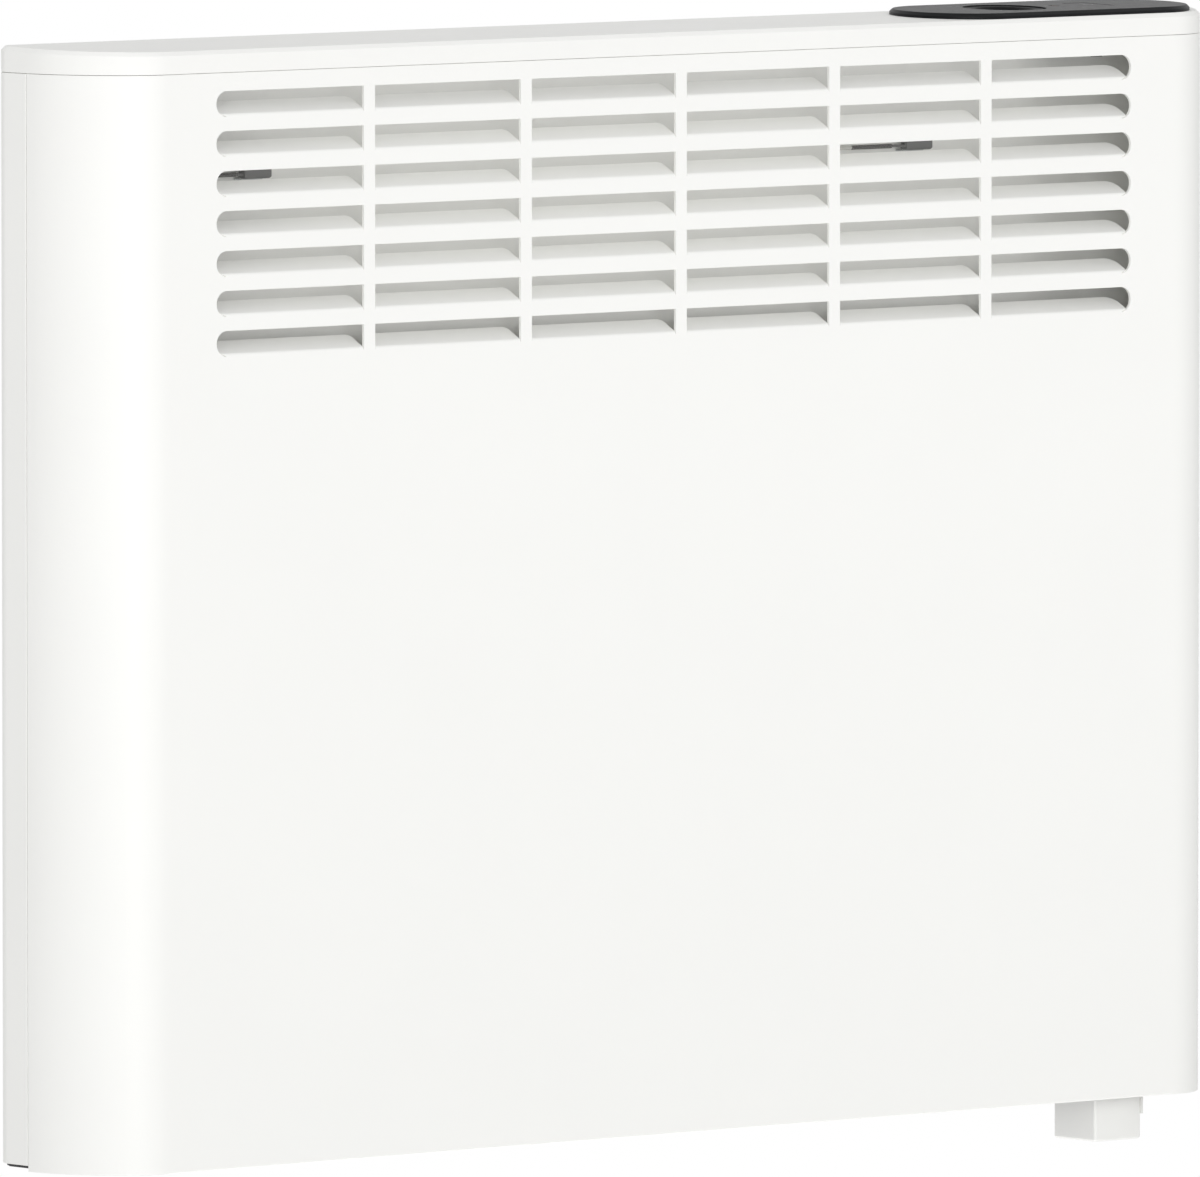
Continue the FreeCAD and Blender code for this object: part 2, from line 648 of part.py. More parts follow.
def element_bracket(x, outward):
    """Sheet bracket: an upright with cropped corners and a foot on the rear shell."""
    y1 = INSIDE
    y0 = ELEMENT_Y - 14
    z0, z1 = ELEMENT_Z - 28, ELEMENT_Z + 22
    crop = 10.0
    outline = [(y0, z0 + crop), (y0 + crop, z0), (y1, z0), (y1, z1), (y0 + crop, z1), (y0, z1 - crop)]
    upright = prism([(x - 0.5, y, z) for y, z in outline], (1, 0, 0))
    foot = box(sorted((x - outward * 0.5, x + outward * 14)), (y1 - 1, y1), (z0, z1))
    hole = small_turning(7.45, V(x - 2, ELEMENT_Y, ELEMENT_Z), V(x + 2, ELEMENT_Y, ELEMENT_Z))
    return upright.fuse(foot).cut(hole).removeSplitter()


def heat_shield():
    """Reflector behind the element that slopes forward into an air guide with a hood, behind the louvres."""
    t = SHIELD_SHEET
    low, bend = SHIELD_Z
    start, top = GUIDE_Z
    plate = [(SHIELD_Y, low), (SHIELD_Y, bend), (SHIELD_Y + t, bend), (SHIELD_Y + t, low)]
    slope = [(SHIELD_Y, bend), (GUIDE_Y, start), (GUIDE_Y + t, start), (SHIELD_Y + t, bend)]
    pieces = []
    for outline in (plate, slope):
        pieces.append(prism([(SHIELD_X[0], y, z) for y, z in outline], (SHIELD_X[1] - SHIELD_X[0], 0, 0)))
    front = [(GUIDE_ENDS[0], GUIDE_REAR_Y), (GUIDE_X[0] - GUIDE_STEP, GUIDE_REAR_Y), (GUIDE_X[0], GUIDE_Y),
             (GUIDE_X[1], GUIDE_Y), (GUIDE_X[1] + GUIDE_STEP, GUIDE_REAR_Y), (GUIDE_ENDS[1], GUIDE_REAR_Y)]
    rear = [(x, y + t) for x, y in reversed(front)]
    pieces.append(prism([(x, y, start) for x, y in front + rear], (0, 0, top - start)))
    pieces.append(box(SHIELD_X, (SHIELD_Y - SHIELD_LIP, SHIELD_Y + t), (low, low + t)))
    pieces.append(box(GUIDE_X, (GUIDE_Y - GUIDE_HOOD, GUIDE_Y + t), (top - t, top)))
    passes = [x + REAR_TAB_X for x in CUTOUT_X] + [PASS_X]
    holes = [box((x - 2, x + 2), (GUIDE_Y - 1, GUIDE_Y + 2), (LEAD_Z - 2, LEAD_Z + 2)) for x in passes]
    return pieces[0].fuse(pieces[1:]).cut(holes).removeSplitter()


def shield_spacers():
    """Hexagon posts between the rear shell and the shield."""
    posts = []
    for x in (-195.0, 180.0):
        for z in (-155.0, 40.0):
            low = SHIELD_Y + SHIELD_SHEET
            posts.append(facets(6, 7.0, V(x, low, z), V(0, INSIDE - low, 0)))
    return Part.makeCompound(posts)


def thermal_cutout(x, tab):
    """Slim cut-out body with cropped edges, a crimped tab at its left end and one at its back."""
    body = box((x, x + CUTOUT_LENGTH), CUTOUT_Y, CUTOUT_Z)
    body = body.makeChamfer(0.6, edges_at(body, CUTOUT_Z[0]) + edges_at(body, CUTOUT_Z[1]))
    z = (LEAD_Z - 0.5, LEAD_Z + 0.5)
    side_tab = box((x - tab, x), (LEAD_Y - 1, LEAD_Y + 1), z)
    middle = x + REAR_TAB_X
    rear_tab = box((middle - 1, middle + 1), (CUTOUT_Y[1], CUTOUT_Y[1] + 2.5), z)
    return body.fuse([side_tab, rear_tab])


def cutout_bracket(x):
    """Bent strip that carries a cut-out from behind, with its foot riveted to the air guide."""
    t = SHIELD_SHEET
    span = (x + 1.5, x + CUTOUT_LENGTH - 1.5)
    behind = CUTOUT_Y[1]
    low = CUTOUT_Z[0] - t
    plate = box(span, (behind, behind + t), (low, CUTOUT_Z[0] + 1.2))
    arm = box(span, (behind, GUIDE_Y), (low, low + t))
    foot = box(span, (GUIDE_Y - t, GUIDE_Y), (low - CUTOUT_FOOT, low + t))
    return plate.fuse([arm, foot]).removeSplitter()


def bent_lead(points, radius):
    """Wire of even, square section along straight runs joined by tangent arcs."""
    points = [V(*p) for p in points]
    edges = []
    cursor = points[0]
    for before, at, after in zip(points, points[1:], points[2:]):
        into = (before - at).normalize()
        out = (after - at).normalize()
        half = into.getAngle(out) / 2
        reach = radius / math.tan(half)
        start = at + into * reach
        end = at + out * reach
        middle = at + (into + out).normalize() * (radius / math.sin(half) - radius)
        edges.append(Part.makeLine(cursor, start))
        edges.append(Part.Arc(start, middle, end).toShape())
        cursor = end
    edges.append(Part.makeLine(cursor, points[-1]))
    path = Part.Wire(edges)
    flats = facets(4, 2 * LEAD_R, points[0], (points[1] - points[0]).normalize())
    section = min(flats.Faces, key=lambda face: (face.CenterOfMass - points[0]).Length)
    lead = path.makePipeShell([section.OuterWire], True, False)
    wanted = section.Area * path.Length
    print("lead length %.0f, volume %.3f of section times length" % (path.Length, lead.Volume / wanted))
    return lead


def lead_routes():
    """Wires, each held between two terminals inside the casing."""
    y, z = LEAD_Y, LEAD_Z
    left_tab, right_tab = [x - tab - LEAD_FIT for x, tab in zip(CUTOUT_X, CUTOUT_TABS)]
    left_rear, right_rear = [(x + REAR_TAB_X, CUTOUT_Y[1] + 2.5 + LEAD_FIT, z) for x in CUTOUT_X]
    pin = TUBE_SPAN[1] + PIN_LENGTH + LEAD_FIT
    far_pin = TUBE_SPAN[0] - PIN_LENGTH - LEAD_FIT
    behind, mid = -26.0, -42.0
    return_z, supply_z = 86.0, 92.0
    inlet = BOX_Z[1] - 8
    return {
        "right_lead": [(right_tab, y, z), (PASS_X, y, z), (PASS_X, behind, z), (PASS_X, behind, -68),
                       (268, behind, -68), (268, ELEMENT_Y, ELEMENT_Z), (pin, ELEMENT_Y, ELEMENT_Z)],
        "left_lead": [(left_tab, y, z), (-288, y, z), (-288, ELEMENT_Y, ELEMENT_Z),
                      (far_pin, ELEMENT_Y, ELEMENT_Z)],
        "return_lead": [left_rear, (left_rear[0], mid, z), (left_rear[0], mid, return_z),
                        (*RETURN_ENTRY, return_z), (*RETURN_ENTRY, inlet)],
        "supply_lead": [right_rear, (right_rear[0], mid, z), (right_rear[0], mid, supply_z),
                        (*SUPPLY_ENTRY, supply_z), (*SUPPLY_ENTRY, inlet)],
        "sensor_lead": [(*PROBE, PROBE_TOP), (*PROBE, -190), (*SENSOR_ENTRY, -160),
                        (*SENSOR_ENTRY, BOX_Z[0] + 8)],
    }


def lead_sleeves():
    """Heat-resistant sleeves over the wires beside the two cut-outs."""
    sleeves = []
    for x, tab in zip(CUTOUT_X, CUTOUT_TABS):
        start = V(x - tab - 2 * LEAD_FIT, LEAD_Y, LEAD_Z)
        end = start - V(SLEEVE_LENGTH, 0, 0)
        bore = facets(4, 2 * LEAD_R + 0.04, start, end - start)
        sleeves.append(small_turning(SLEEVE_R, start, end).cut(bore))
    return Part.makeCompound(sleeves)


def sensor_housing():
    """Hollow cap round the air sensor, with inlet slots through its floor."""
    outer = box(SENSOR_X, SENSOR_Y, (SENSOR_BOTTOM, SENSOR_TOP))
    outer = outer.makeChamfer(0.8, edges_at(outer, SENSOR_BOTTOM) + upright_edges(outer))
    w = 1.6
    inner = box((SENSOR_X[0] + w, SENSOR_X[1] - w), (SENSOR_Y[0] + w, SENSOR_Y[1] - w),
                (SENSOR_BOTTOM + w, SENSOR_TOP + 1))
    slots = []
    floor = (SENSOR_BOTTOM - 1, SENSOR_BOTTOM + 3)
    for i in range(4):
        x = SENSOR_X[0] + 4.2 + i * 5
        slots.append(box((x, x + 1.8), (SENSOR_Y[0] + 4, SENSOR_Y[1] - 4), floor))
    return outer.cut([inner] + slots)


def sensor_collar():
    """Clip round the right and rear sides of the sensor housing, under the inlet grille."""
    z = (SENSOR_STEP, GRILLE_Z)
    middle = (SENSOR_X[0] + SENSOR_X[1]) / 2
    outer = box((middle, SENSOR_X[1] + COLLAR_LIP[0]), (SENSOR_Y[0], SENSOR_Y[1] + COLLAR_LIP[1]), z)
    return outer.cut(box((SENSOR_X[0] - 1, SENSOR_X[1] + 0.02), (SENSOR_Y[0] - 1, SENSOR_Y[1] + 0.02),
                         (z[0] - 1, z[1] + 1)))


def sensor_probe():
    """Sensing bead on a carrier that spans the housing."""
    w = 1.7
    x, y = PROBE
    bridge = box((SENSOR_X[0] + w, SENSOR_X[1] - w), (y - 3, y + 3), (PROBE_TOP - 4, PROBE_TOP - 2))
    stem = facets(6, 4.0, V(x, y, PROBE_TOP - 8), V(0, 0, 7.9))
    bead = facets(6, 3.2, V(x, y, PROBE_TOP - 11), V(0, 0, 3))
    return bridge.fuse([stem, bead]).removeSplitter()


def hanger_rail():
    """Upper wall rail with two up-turned hooks that carry the rear shell."""
    z = SCREW_SPAN_Z / 2
    rail = box((-RAIL_HALF, RAIL_HALF), (-RAIL, 0), (z - 25, z + 25))
    rib = box((-RAIL_HALF, RAIL_HALF), (-6, 0), (z + 25 - RAIL, z + 25))
    pieces = [rib]
    inside = INSIDE - CLEAR
    for x in HOOK_X:
        span = (x - HOOK_HALF, x + HOOK_HALF)
        pieces.append(box(span, (inside - RAIL, 0), (HOOK_Z, HOOK_Z + RAIL)))
        pieces.append(box(span, (inside - RAIL, inside), (HOOK_Z, HOOK_Z + 12)))
    holes = [along_y(WALL_HOLE_R, side * SCREW_SPAN_X / 2, z, (-10, 1)) for side in (1, -1)]
    return rail.fuse(pieces).removeSplitter().cut(holes)


def lower_rail():
    """Lower wall rail with two hooded arms that carry the turn latches."""
    z = -SCREW_SPAN_Z / 2
    high = z + 20
    rail = box((-RAIL_HALF, RAIL_HALF), (-RAIL, 0), (z - 20, high))
    pieces = []
    holes = [along_y(WALL_HOLE_R, side * SCREW_SPAN_X / 2, z, (-10, 1)) for side in (1, -1)]
    for x in LATCH_X:
        span = (x - 14, x + 14)
        pieces.append(box(span, (BACK + 2, 0), (high - RAIL, high)))
        pieces.append(box(span, (BACK + 2, BACK + 2 + RAIL), (LATCH_Z - 14, high)))
        holes.append(small_turning(LATCH_SHANK_R + 0.06, V(x, BACK, LATCH_Z), V(x, BACK + 5, LATCH_Z)))
    return rail.fuse(pieces).removeSplitter().cut(holes)


def turn_latch(x):
    """Quarter-turn latch, drawn locked: T-head inside the shell, shank, and a lever that hangs down."""
    shank = along_y(LATCH_SHANK_R, x, LATCH_Z, (BACK - 3, BACK + 9))
    head = box((x - 3.5, x + 3.5), (BACK - 5, BACK - 2.5), (LATCH_Z - 12, LATCH_Z + 12))
    head = head.makeChamfer(1.5, [e for e in head.Edges if e.BoundBox.YLength > 1])
    y = (BACK + 7, BACK + 9.5)
    lever = box((x - 4, x + 4), y, (LATCH_Z - 52, LATCH_Z))
    ends = [small_turning(r, V(x, y[0], z), V(x, y[1], z)) for r, z in ((6.0, LATCH_Z), (4.0, LATCH_Z - 52))]
    return shank.fuse([head, lever] + ends).removeSplitter()


def wall_buffers():
    """Stepped rubber buffers that keep the lower corners off the wall, each snapped into the shell."""
    buffers = []
    for x, z in BUFFERS:
        steps = ((BUFFER_NECK_R, BACK - 2.5, BACK), (7.0, BACK, -3.0), (5.4, -3.0, 0.0))
        turned = [small_turning(r, V(x, y0, z), V(x, y1, z)) for r, y0, y1 in steps]
        buffers.append(turned[0].fuse(turned[1:]).removeSplitter())
    return Part.makeCompound(buffers)


def cable_gland():
    """Grommet in the rear shell where the supply cable enters."""
    x, z, r = GLAND
    flange = small_turning(r + 2.5, V(x, BACK, z), V(x, BACK + 2, z))
    neck = small_turning(r - 0.02, V(x, BACK - 3, z), V(x, BACK + 1, z))
    return neck.fuse(flange).cut(along_y(GLAND_BORE, x, z, (BACK - 5, BACK + 5))).removeSplitter()


def bracket_rivets():
    """Rivet heads: four on the element brackets' feet, two on the cut-out strips' feet."""
    places = [V(x, INSIDE - 1, z) for x in (-254, 230) for z in (-118, -88)]
    foot_z = CUTOUT_Z[0] - SHIELD_SHEET - CUTOUT_FOOT / 2
    places += [V(x + CUTOUT_LENGTH / 2, GUIDE_Y - SHIELD_SHEET, foot_z) for x in CUTOUT_X]
    return Part.makeCompound([facets(6, 4.4, place, V(0, -1, 0)) for place in places])


def build():
    parts = {
        "front_cover": front_cover(),
        "rear_shell": rear_shell(),
        "top_cap": top_cap(),
        "bottom_grille": bottom_grille(),
        "cover_screws": cover_screws(),
        "control_fascia": control_fascia(),
        "dial_knob": dial_knob(),
        "dial_shaft": dial_shaft(),
        "dial_potentiometer": dial_potentiometer(),
        "control_board": control_board(),
        "board_screws": board_screws(),
        "switch_body": switch_body(),
        "power_button": power_button(),
        "indicator_lens": indicator_lens(),
        "control_box": control_box(),
        "control_box_lid": control_box_lid(),
        "terminal_block": terminal_block(),
        "power_relay": power_relay(),
        "heating_tube": heating_tube(),
        "element_fins": element_fins(),
        "element_bushes": element_bushes(),
        "element_bracket_left": element_bracket(BRACKET_X[0], -1),
        "element_bracket_right": element_bracket(BRACKET_X[1], 1),
        "heat_shield": heat_shield(),
        "shield_spacers": shield_spacers(),
        "thermal_cutout_left": thermal_cutout(CUTOUT_X[0], CUTOUT_TABS[0]),
        "thermal_cutout_right": thermal_cutout(CUTOUT_X[1], CUTOUT_TABS[1]),
        "cutout_bracket_left": cutout_bracket(CUTOUT_X[0]),
        "cutout_bracket_right": cutout_bracket(CUTOUT_X[1]),
        "lead_sleeves": lead_sleeves(),
        "bracket_rivets": bracket_rivets(),
        "sensor_housing": sensor_housing(),
        "sensor_collar": sensor_collar(),
        "sensor_probe": sensor_probe(),
        "hanger_rail": hanger_rail(),
        "lower_rail": lower_rail(),
        "latch_left": turn_latch(LATCH_X[0]),
        "latch_right": turn_latch(LATCH_X[1]),
        "wall_buffers": wall_buffers(),
        "cable_gland": cable_gland(),
    }
    for name in PANEL_PIECES:
        sloped(parts[name])
    for name, route in lead_routes().items():
        parts[name] = bent_lead(route, LEAD_BEND)
    return parts


os.makedirs("parts", exist_ok=True)
for node, shape in build().items():
    solids = shape.Solids
    valid = all(s.isValid() and s.Volume > 0 for s in solids)
    print("%-24s solids %d valid %s volume %.0f" % (node, len(solids), valid, shape.Volume))
    shape.exportStep("parts/%s.step" % node)
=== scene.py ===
"""Wall convector heater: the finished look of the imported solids."""

import json
import math

import bmesh
import bpy
from bpy.props import FloatProperty, FloatVectorProperty, IntProperty, PointerProperty
from mathutils import Matrix, Vector

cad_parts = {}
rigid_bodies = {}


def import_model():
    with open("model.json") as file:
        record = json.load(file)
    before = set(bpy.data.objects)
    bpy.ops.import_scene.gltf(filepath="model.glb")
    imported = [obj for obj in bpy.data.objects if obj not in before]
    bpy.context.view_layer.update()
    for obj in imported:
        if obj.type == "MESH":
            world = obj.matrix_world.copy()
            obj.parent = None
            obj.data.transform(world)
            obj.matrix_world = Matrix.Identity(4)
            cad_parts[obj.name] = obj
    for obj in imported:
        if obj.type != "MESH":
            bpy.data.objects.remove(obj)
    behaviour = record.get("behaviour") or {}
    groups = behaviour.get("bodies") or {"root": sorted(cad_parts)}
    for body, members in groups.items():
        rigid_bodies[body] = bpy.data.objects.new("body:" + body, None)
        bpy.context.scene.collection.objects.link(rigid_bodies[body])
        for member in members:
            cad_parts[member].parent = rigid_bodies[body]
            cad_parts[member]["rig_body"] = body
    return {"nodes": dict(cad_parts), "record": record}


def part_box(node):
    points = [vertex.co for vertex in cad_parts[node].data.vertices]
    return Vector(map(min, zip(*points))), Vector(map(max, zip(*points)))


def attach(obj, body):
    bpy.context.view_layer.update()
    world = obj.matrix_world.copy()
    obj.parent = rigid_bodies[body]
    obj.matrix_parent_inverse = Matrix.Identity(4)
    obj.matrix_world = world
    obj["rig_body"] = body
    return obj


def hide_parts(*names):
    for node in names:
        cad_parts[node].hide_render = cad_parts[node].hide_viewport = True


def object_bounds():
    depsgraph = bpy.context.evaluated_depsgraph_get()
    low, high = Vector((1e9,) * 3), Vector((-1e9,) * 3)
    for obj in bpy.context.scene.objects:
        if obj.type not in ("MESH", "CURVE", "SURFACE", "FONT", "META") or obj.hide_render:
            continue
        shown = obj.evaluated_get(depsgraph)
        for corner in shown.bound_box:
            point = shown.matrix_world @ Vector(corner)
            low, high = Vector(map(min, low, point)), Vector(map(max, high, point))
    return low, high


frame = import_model()
CAD_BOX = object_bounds()

bl_info = {
    "name": "Wall convector heater",
    "version": (1, 0, 0),
    "blender": (4, 5, 0),
    "location": "View3D > Sidebar > Heater",
    "description": "Models and finishes the pieces of a wall convector heater on its solids",
    "category": "Object",
}

MM = 0.001
SLOT_OF = {row["node"]: row["material_slot"] for row in frame["record"]["subparts"]}
COVER_LOW, COVER_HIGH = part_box("front_cover")
FRONT, SEAM, SIDE = COVER_LOW.y, COVER_HIGH.y, COVER_HIGH.x
FINISHES = {}

# Turns of a piece that is drawn level: a plane set upright, and an axis of revolution laid along x, y or z
UPRIGHT = (math.pi / 2, 0, 0)
TURNS = {"x": (0, math.pi / 2, 0), "y": (-math.pi / 2, 0, 0), "z": (0, 0, 0)}

# Distances in metres: within which points count as level, within which they are merged, and a finer one
NEAR = 2e-6
WELD = 5e-6
FINE = 1e-6

# Height of the wires to the cut-outs above the middle of the heater, in millimetres
WIRE_Z = 172.9


def length(title, words, default):
    return FloatProperty(name=title, description=words, default=default, min=0.0, unit="LENGTH",
                         precision=5)


def angle(title, words, degrees):
    return FloatProperty(name=title, description=words, default=math.radians(degrees), subtype="ANGLE")


def colour(title, words, default):
    return FloatVectorProperty(name=title, description=words, default=default, min=0.0, max=1.0,
                               subtype="COLOR")


class HeaterCover(bpy.types.PropertyGroup):
    """Sizes of the pressed front cover"""
    sheet: length("Sheet", "Thickness of the pressed sheet", 1.2 * MM)
    corner_x: length("Corner width", "Width of each rounded corner, seen from the front", 36 * MM)
    corner_r: length("Corner radius", "Radius where a corner leaves the flat front", 28 * MM)
    columns: IntProperty(name="Columns", description="Louvre columns", default=6, min=3)
    rows: IntProperty(name="Rows", description="Louvre rows", default=7, min=1)
    column_pitch: length("Column pitch", "Spacing of the louvre columns", 82.25 * MM)
    row_pitch: length("Row pitch", "Spacing of the louvre rows", 16 * MM)
    slot_length: length("Slot length", "Length of one opening", 76.45 * MM)
    slot_height: length("Slot height", "From an opening's upper edge to the start of its bend", 10.3 * MM)
    slot_top: length("Top slot", "Upper edge of the top row above the middle of the heater", 207.7 * MM)
    end_r: length("End radius", "Radius of the outer end of a row", 5.1 * MM)
    tip_r: length("Tip radius", "Rounded corners at the inner end of a flap", 2.6 * MM)
    bend_r: length("Bend radius", "Outer radius of the bend under each flap", 1.6 * MM)
    flap: length("Flap", "Straight length of a flap behind its bend", 9.4 * MM)
    flap_angle: angle("Flap angle", "Turn of a flap from the sheet", 62)
    flange: length("Flange", "Depth of the bottom flange", 14 * MM)


class HeaterPanel(bpy.types.PropertyGroup):
    """Sizes of the control panel on the cap"""
    slope: angle("Slope", "Fall of the panel to the front", 1.25)
    pivot_y: length("Slope line", "From the wall to the line about which the panel slopes", 45.5 * MM)
    pivot_z: length("Slope height", "Height of that line above the middle of the heater", 225 * MM)
    rise: length("Rise", "Thickness of the panel above the cap", 2.4 * MM)
    forward: length("Middle line", "Middle line of the panel, forward of the wall", 51.5 * MM)
    dial_x: length("Dial", "Middle of the dial", 201.8 * MM)
    dial_r: length("Dial radius", "Outer radius of the dial", 17 * MM)
    button_x: length("Button", "Middle of the power button", 248 * MM)
    scale_r: length("Scale radius", "Middle of the dial to the numerals", 22.6 * MM)


class HeaterGuide(bpy.types.PropertyGroup):
    """Sizes of the reflector and of the air guide above it; forward is measured from the wall"""
    sheet: length("Sheet", "Thickness of the sheet", 0.6 * MM)
    forward: length("Guide", "Front of the air guide, forward of the wall", 57 * MM)
    rear: length("Ends", "Front of its stepped ends, forward of the wall", 49 * MM)
    plate: length("Reflector", "Front of the reflector, forward of the wall", 30.6 * MM)
    left: length("Left", "Middle of the heater to the left bend", 232 * MM)
    right: length("Right", "Middle of the heater to the right bend", 204 * MM)
    low: length("Lower edge", "Lower edge of the air guide above the middle of the heater", 95 * MM)
    slope_z: length("Slope", "Lower edge of the slope above the middle of the heater", 60 * MM)
    step: length("Step", "Width of the step back at each end", 33.6 * MM)
    hood: length("Hood", "Reach of the hood toward the front", 19 * MM)
    hood_end: length("Hood end", "Middle of the heater to the right end of the hood", 282 * MM)
    clear: length("Clearance", "Narrowing of the hood at that end", 1 * MM)
    bend: length("Bend", "Length of sheet that each upright bend takes up on either side", 15 * MM)
    knee: length("Knee", "Height above the middle of the heater below which the guide leans", 150 * MM)
    lean: length("Lean", "How far its lower edge stands forward of its upper edge", 7.5 * MM)


class HeaterColours(bpy.types.PropertyGroup):
    """Colours of the finishes"""
    paint: colour("Paint", "Powder coat of the sheet pieces", (0.935, 0.935, 0.915))
    # Inside paint is the white powder coat made darker: the drop in tone is painted shade for the inside
    # behind the louvres
    inside: colour("Inside paint", "Powder coat of the air guide", (0.842, 0.842, 0.83))
    moulding: colour("White moulding", "Top cap and sensor housing", (0.93, 0.93, 0.91))
    panel: colour("Panel", "Control panel", (0.008, 0.0085, 0.0095))


def metres(values):
    """Turns millimetres into metres."""
    return [value * MM for value in values]


def radians(turns):
    """Turns degrees into radians."""
    return [math.radians(turn) for turn in turns]


def deselect():
    if bpy.context.mode != "OBJECT":
        bpy.ops.object.mode_set(mode="OBJECT")
    bpy.ops.object.select_all(action="DESELECT")


def focus(*objects):
    """Selects objects and makes the first one active."""
    deselect()
    for obj in objects:
        obj.select_set(True)
    bpy.context.view_layer.objects.active = objects[0]


def settle():
    """Puts the place, turn and scale of the selected objects into their meshes."""
    bpy.ops.object.transform_apply(location=True, rotation=True, scale=True)


def start(shape, name, span=None, **settings):
    """Adds a primitive, stretches it to a span and puts its place into its mesh."""
    deselect()
    getattr(bpy.ops.mesh, "primitive_" + shape + "_add")(**settings)
    obj = bpy.context.object
    obj.name = obj.data.name = name
    if span:
        obj.scale = span
    settle()
    return obj


def edit(obj):
    focus(obj)
    bpy.ops.object.mode_set(mode="EDIT")


def pick(kind, test):
    """Selects what passes a test among the points or edges of the mesh in edit mode."""
    mesh = bpy.context.object.data
    bpy.ops.mesh.select_mode(type=kind)
    bpy.ops.mesh.select_all(action="DESELECT")
    shape = bmesh.from_edit_mesh(mesh)
    items = {"VERT": shape.verts, "EDGE": shape.edges}[kind]
    chosen = [item for item in items if test(item)]
    if not chosen:
        raise RuntimeError("nothing to pick on " + mesh.name)
    for item in chosen:
        item.select_set(True)
    bmesh.update_edit_mesh(mesh, loop_triangles=False, destructive=False)


def points(item):
    return [vert.co for vert in item.verts] if hasattr(item, "verts") else [item.co]


def at(**place):
    """Test for what lies at a place on one or more axes."""
    def test(item):
        return all(abs(getattr(co, axis) - value) < NEAR
                   for co in points(item) for axis, value in place.items())
    return test


def pull(x=0.0, y=0.0, z=0.0):
    bpy.ops.mesh.extrude_region_move(TRANSFORM_OT_translate={"value": (x, y, z)})


def rounded(kind, radius, segments):
    """Rounds the selected points or edges of the mesh in edit mode; points as far as their edges allow."""
    bpy.ops.mesh.bevel(offset=radius, segments=segments, affect=kind, profile=0.5,
                       clamp_overlap=kind == "VERTICES")


def everything():
    bpy.ops.mesh.select_all(action="SELECT")


def weld(distance=WELD):
    everything()
    bpy.ops.mesh.remove_doubles(threshold=distance)


def modify(obj, kind, **settings):
    """Adds a modifier and applies it."""
    focus(obj)
    bpy.ops.object.modifier_add(type=kind)
    modifier = obj.modifiers[-1]
    for key, value in settings.items():
        setattr(modifier, key, value)
    bpy.ops.object.modifier_apply(modifier=modifier.name)


def arrayed(obj, count, step):
    """Repeats a piece in a row, in one mesh."""
    modify(obj, "ARRAY", count=count, use_relative_offset=False, use_constant_offset=True,
           constant_offset_displace=step)


def cut(obj, blade):
    """Cuts a blade out of a piece and deletes the blade."""
    modify(obj, "BOOLEAN", operation="DIFFERENCE", object=blade, solver="EXACT")
    focus(blade)
    bpy.ops.object.delete()


def soften(obj, width, segments=2, degrees=40):
    """Rounds the sharp edges and smooths the rest, with large faces kept flat."""
    limit = math.radians(degrees)
    modify(obj, "BEVEL", width=width, segments=segments, limit_method="ANGLE", angle_limit=limit,
           use_clamp_overlap=True, harden_normals=False)
    focus(obj)
    bpy.ops.object.shade_smooth_by_angle(angle=limit)
    modify(obj, "WEIGHTED_NORMAL", mode="FACE_AREA", weight=50, keep_sharp=True)


def finished(obj, finish, body="casing", nodes=()):
    """Gives a piece its finish and its body, and hides the solids that it stands for."""
    obj.data.materials.clear()
    obj.data.materials.append(FINISHES[finish])
    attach(obj, body)
    if nodes:
        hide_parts(*nodes)
    deselect()
    return obj


def copied(node):
    """A copy of a solid with its triangles merged into whole faces."""
    obj = bpy.data.objects.new(node + "_finished", frame["nodes"][node].data.copy())
    bpy.context.scene.collection.objects.link(obj)
    edit(obj)
    weld(FINE)
    bpy.ops.mesh.dissolve_limited(angle_limit=math.radians(1))
    deselect()
    return obj


def stand_in(obj, node, finish=None):
    """Puts a piece in the place of one solid."""
    body, slot = frame["nodes"][node]["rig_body"], SLOT_OF[node]
    finished(obj, finish or slot, body, [node])


def dressed(node, width=0.3 * MM, segments=2, degrees=35, finish=None):
    """Stands a copy of a solid, with rounded edges and smooth faces, in its place."""
    obj = copied(node)
    soften(obj, width, segments, degrees)
    stand_in(obj, node, finish)


def turned(name, place, axis, profile, sides=32, smooth=28):
    """Turns a profile of (radius, height) pairs, in millimetres, about an axis through a place."""
    (radius, height), *rest = profile
    obj = start("circle", name, vertices=sides, radius=radius * MM, location=(0, 0, height * MM))
    edit(obj)
    everything()
    for r, h in rest:
        pull(z=(h - height) * MM)
        bpy.ops.transform.resize(value=(r / radius, r / radius, 1), center_override=(0, 0, 0))
        radius, height = r, h
    weld(FINE)
    bpy.ops.mesh.fill_holes(sides=0)
    everything()
    bpy.ops.mesh.normals_make_consistent(inside=False)
    focus(obj)
    obj.location = metres(place)
    obj.rotation_euler = TURNS[axis]
    settle()
    bpy.ops.object.shade_smooth_by_angle(angle=math.radians(smooth))
    return obj


def joined(*pieces):
    focus(*pieces)
    bpy.ops.object.join()
    return pieces[0]


def repeated(first, moves):
    """Copies a piece, each time with its own mesh, by moves in millimetres, and joins the copies to it."""
    pieces = [first]
    for move in moves:
        focus(first)
        bpy.ops.object.duplicate_move(TRANSFORM_OT_translate={"value": metres(move)})
        settle()
        pieces.append(bpy.context.object)
    return joined(*pieces)


def tilted(obj):
    """Tilts a piece that was drawn level to the slope of the panel."""
    panel = bpy.context.scene.heater_panel
    pivot = Vector((0, -panel.pivot_y, panel.pivot_z))
    out, back = Matrix.Translation(pivot), Matrix.Translation(-pivot)
    focus(obj)
    obj.matrix_world = out @ Matrix.Rotation(panel.slope, 4, "X") @ back
    settle()
    return obj


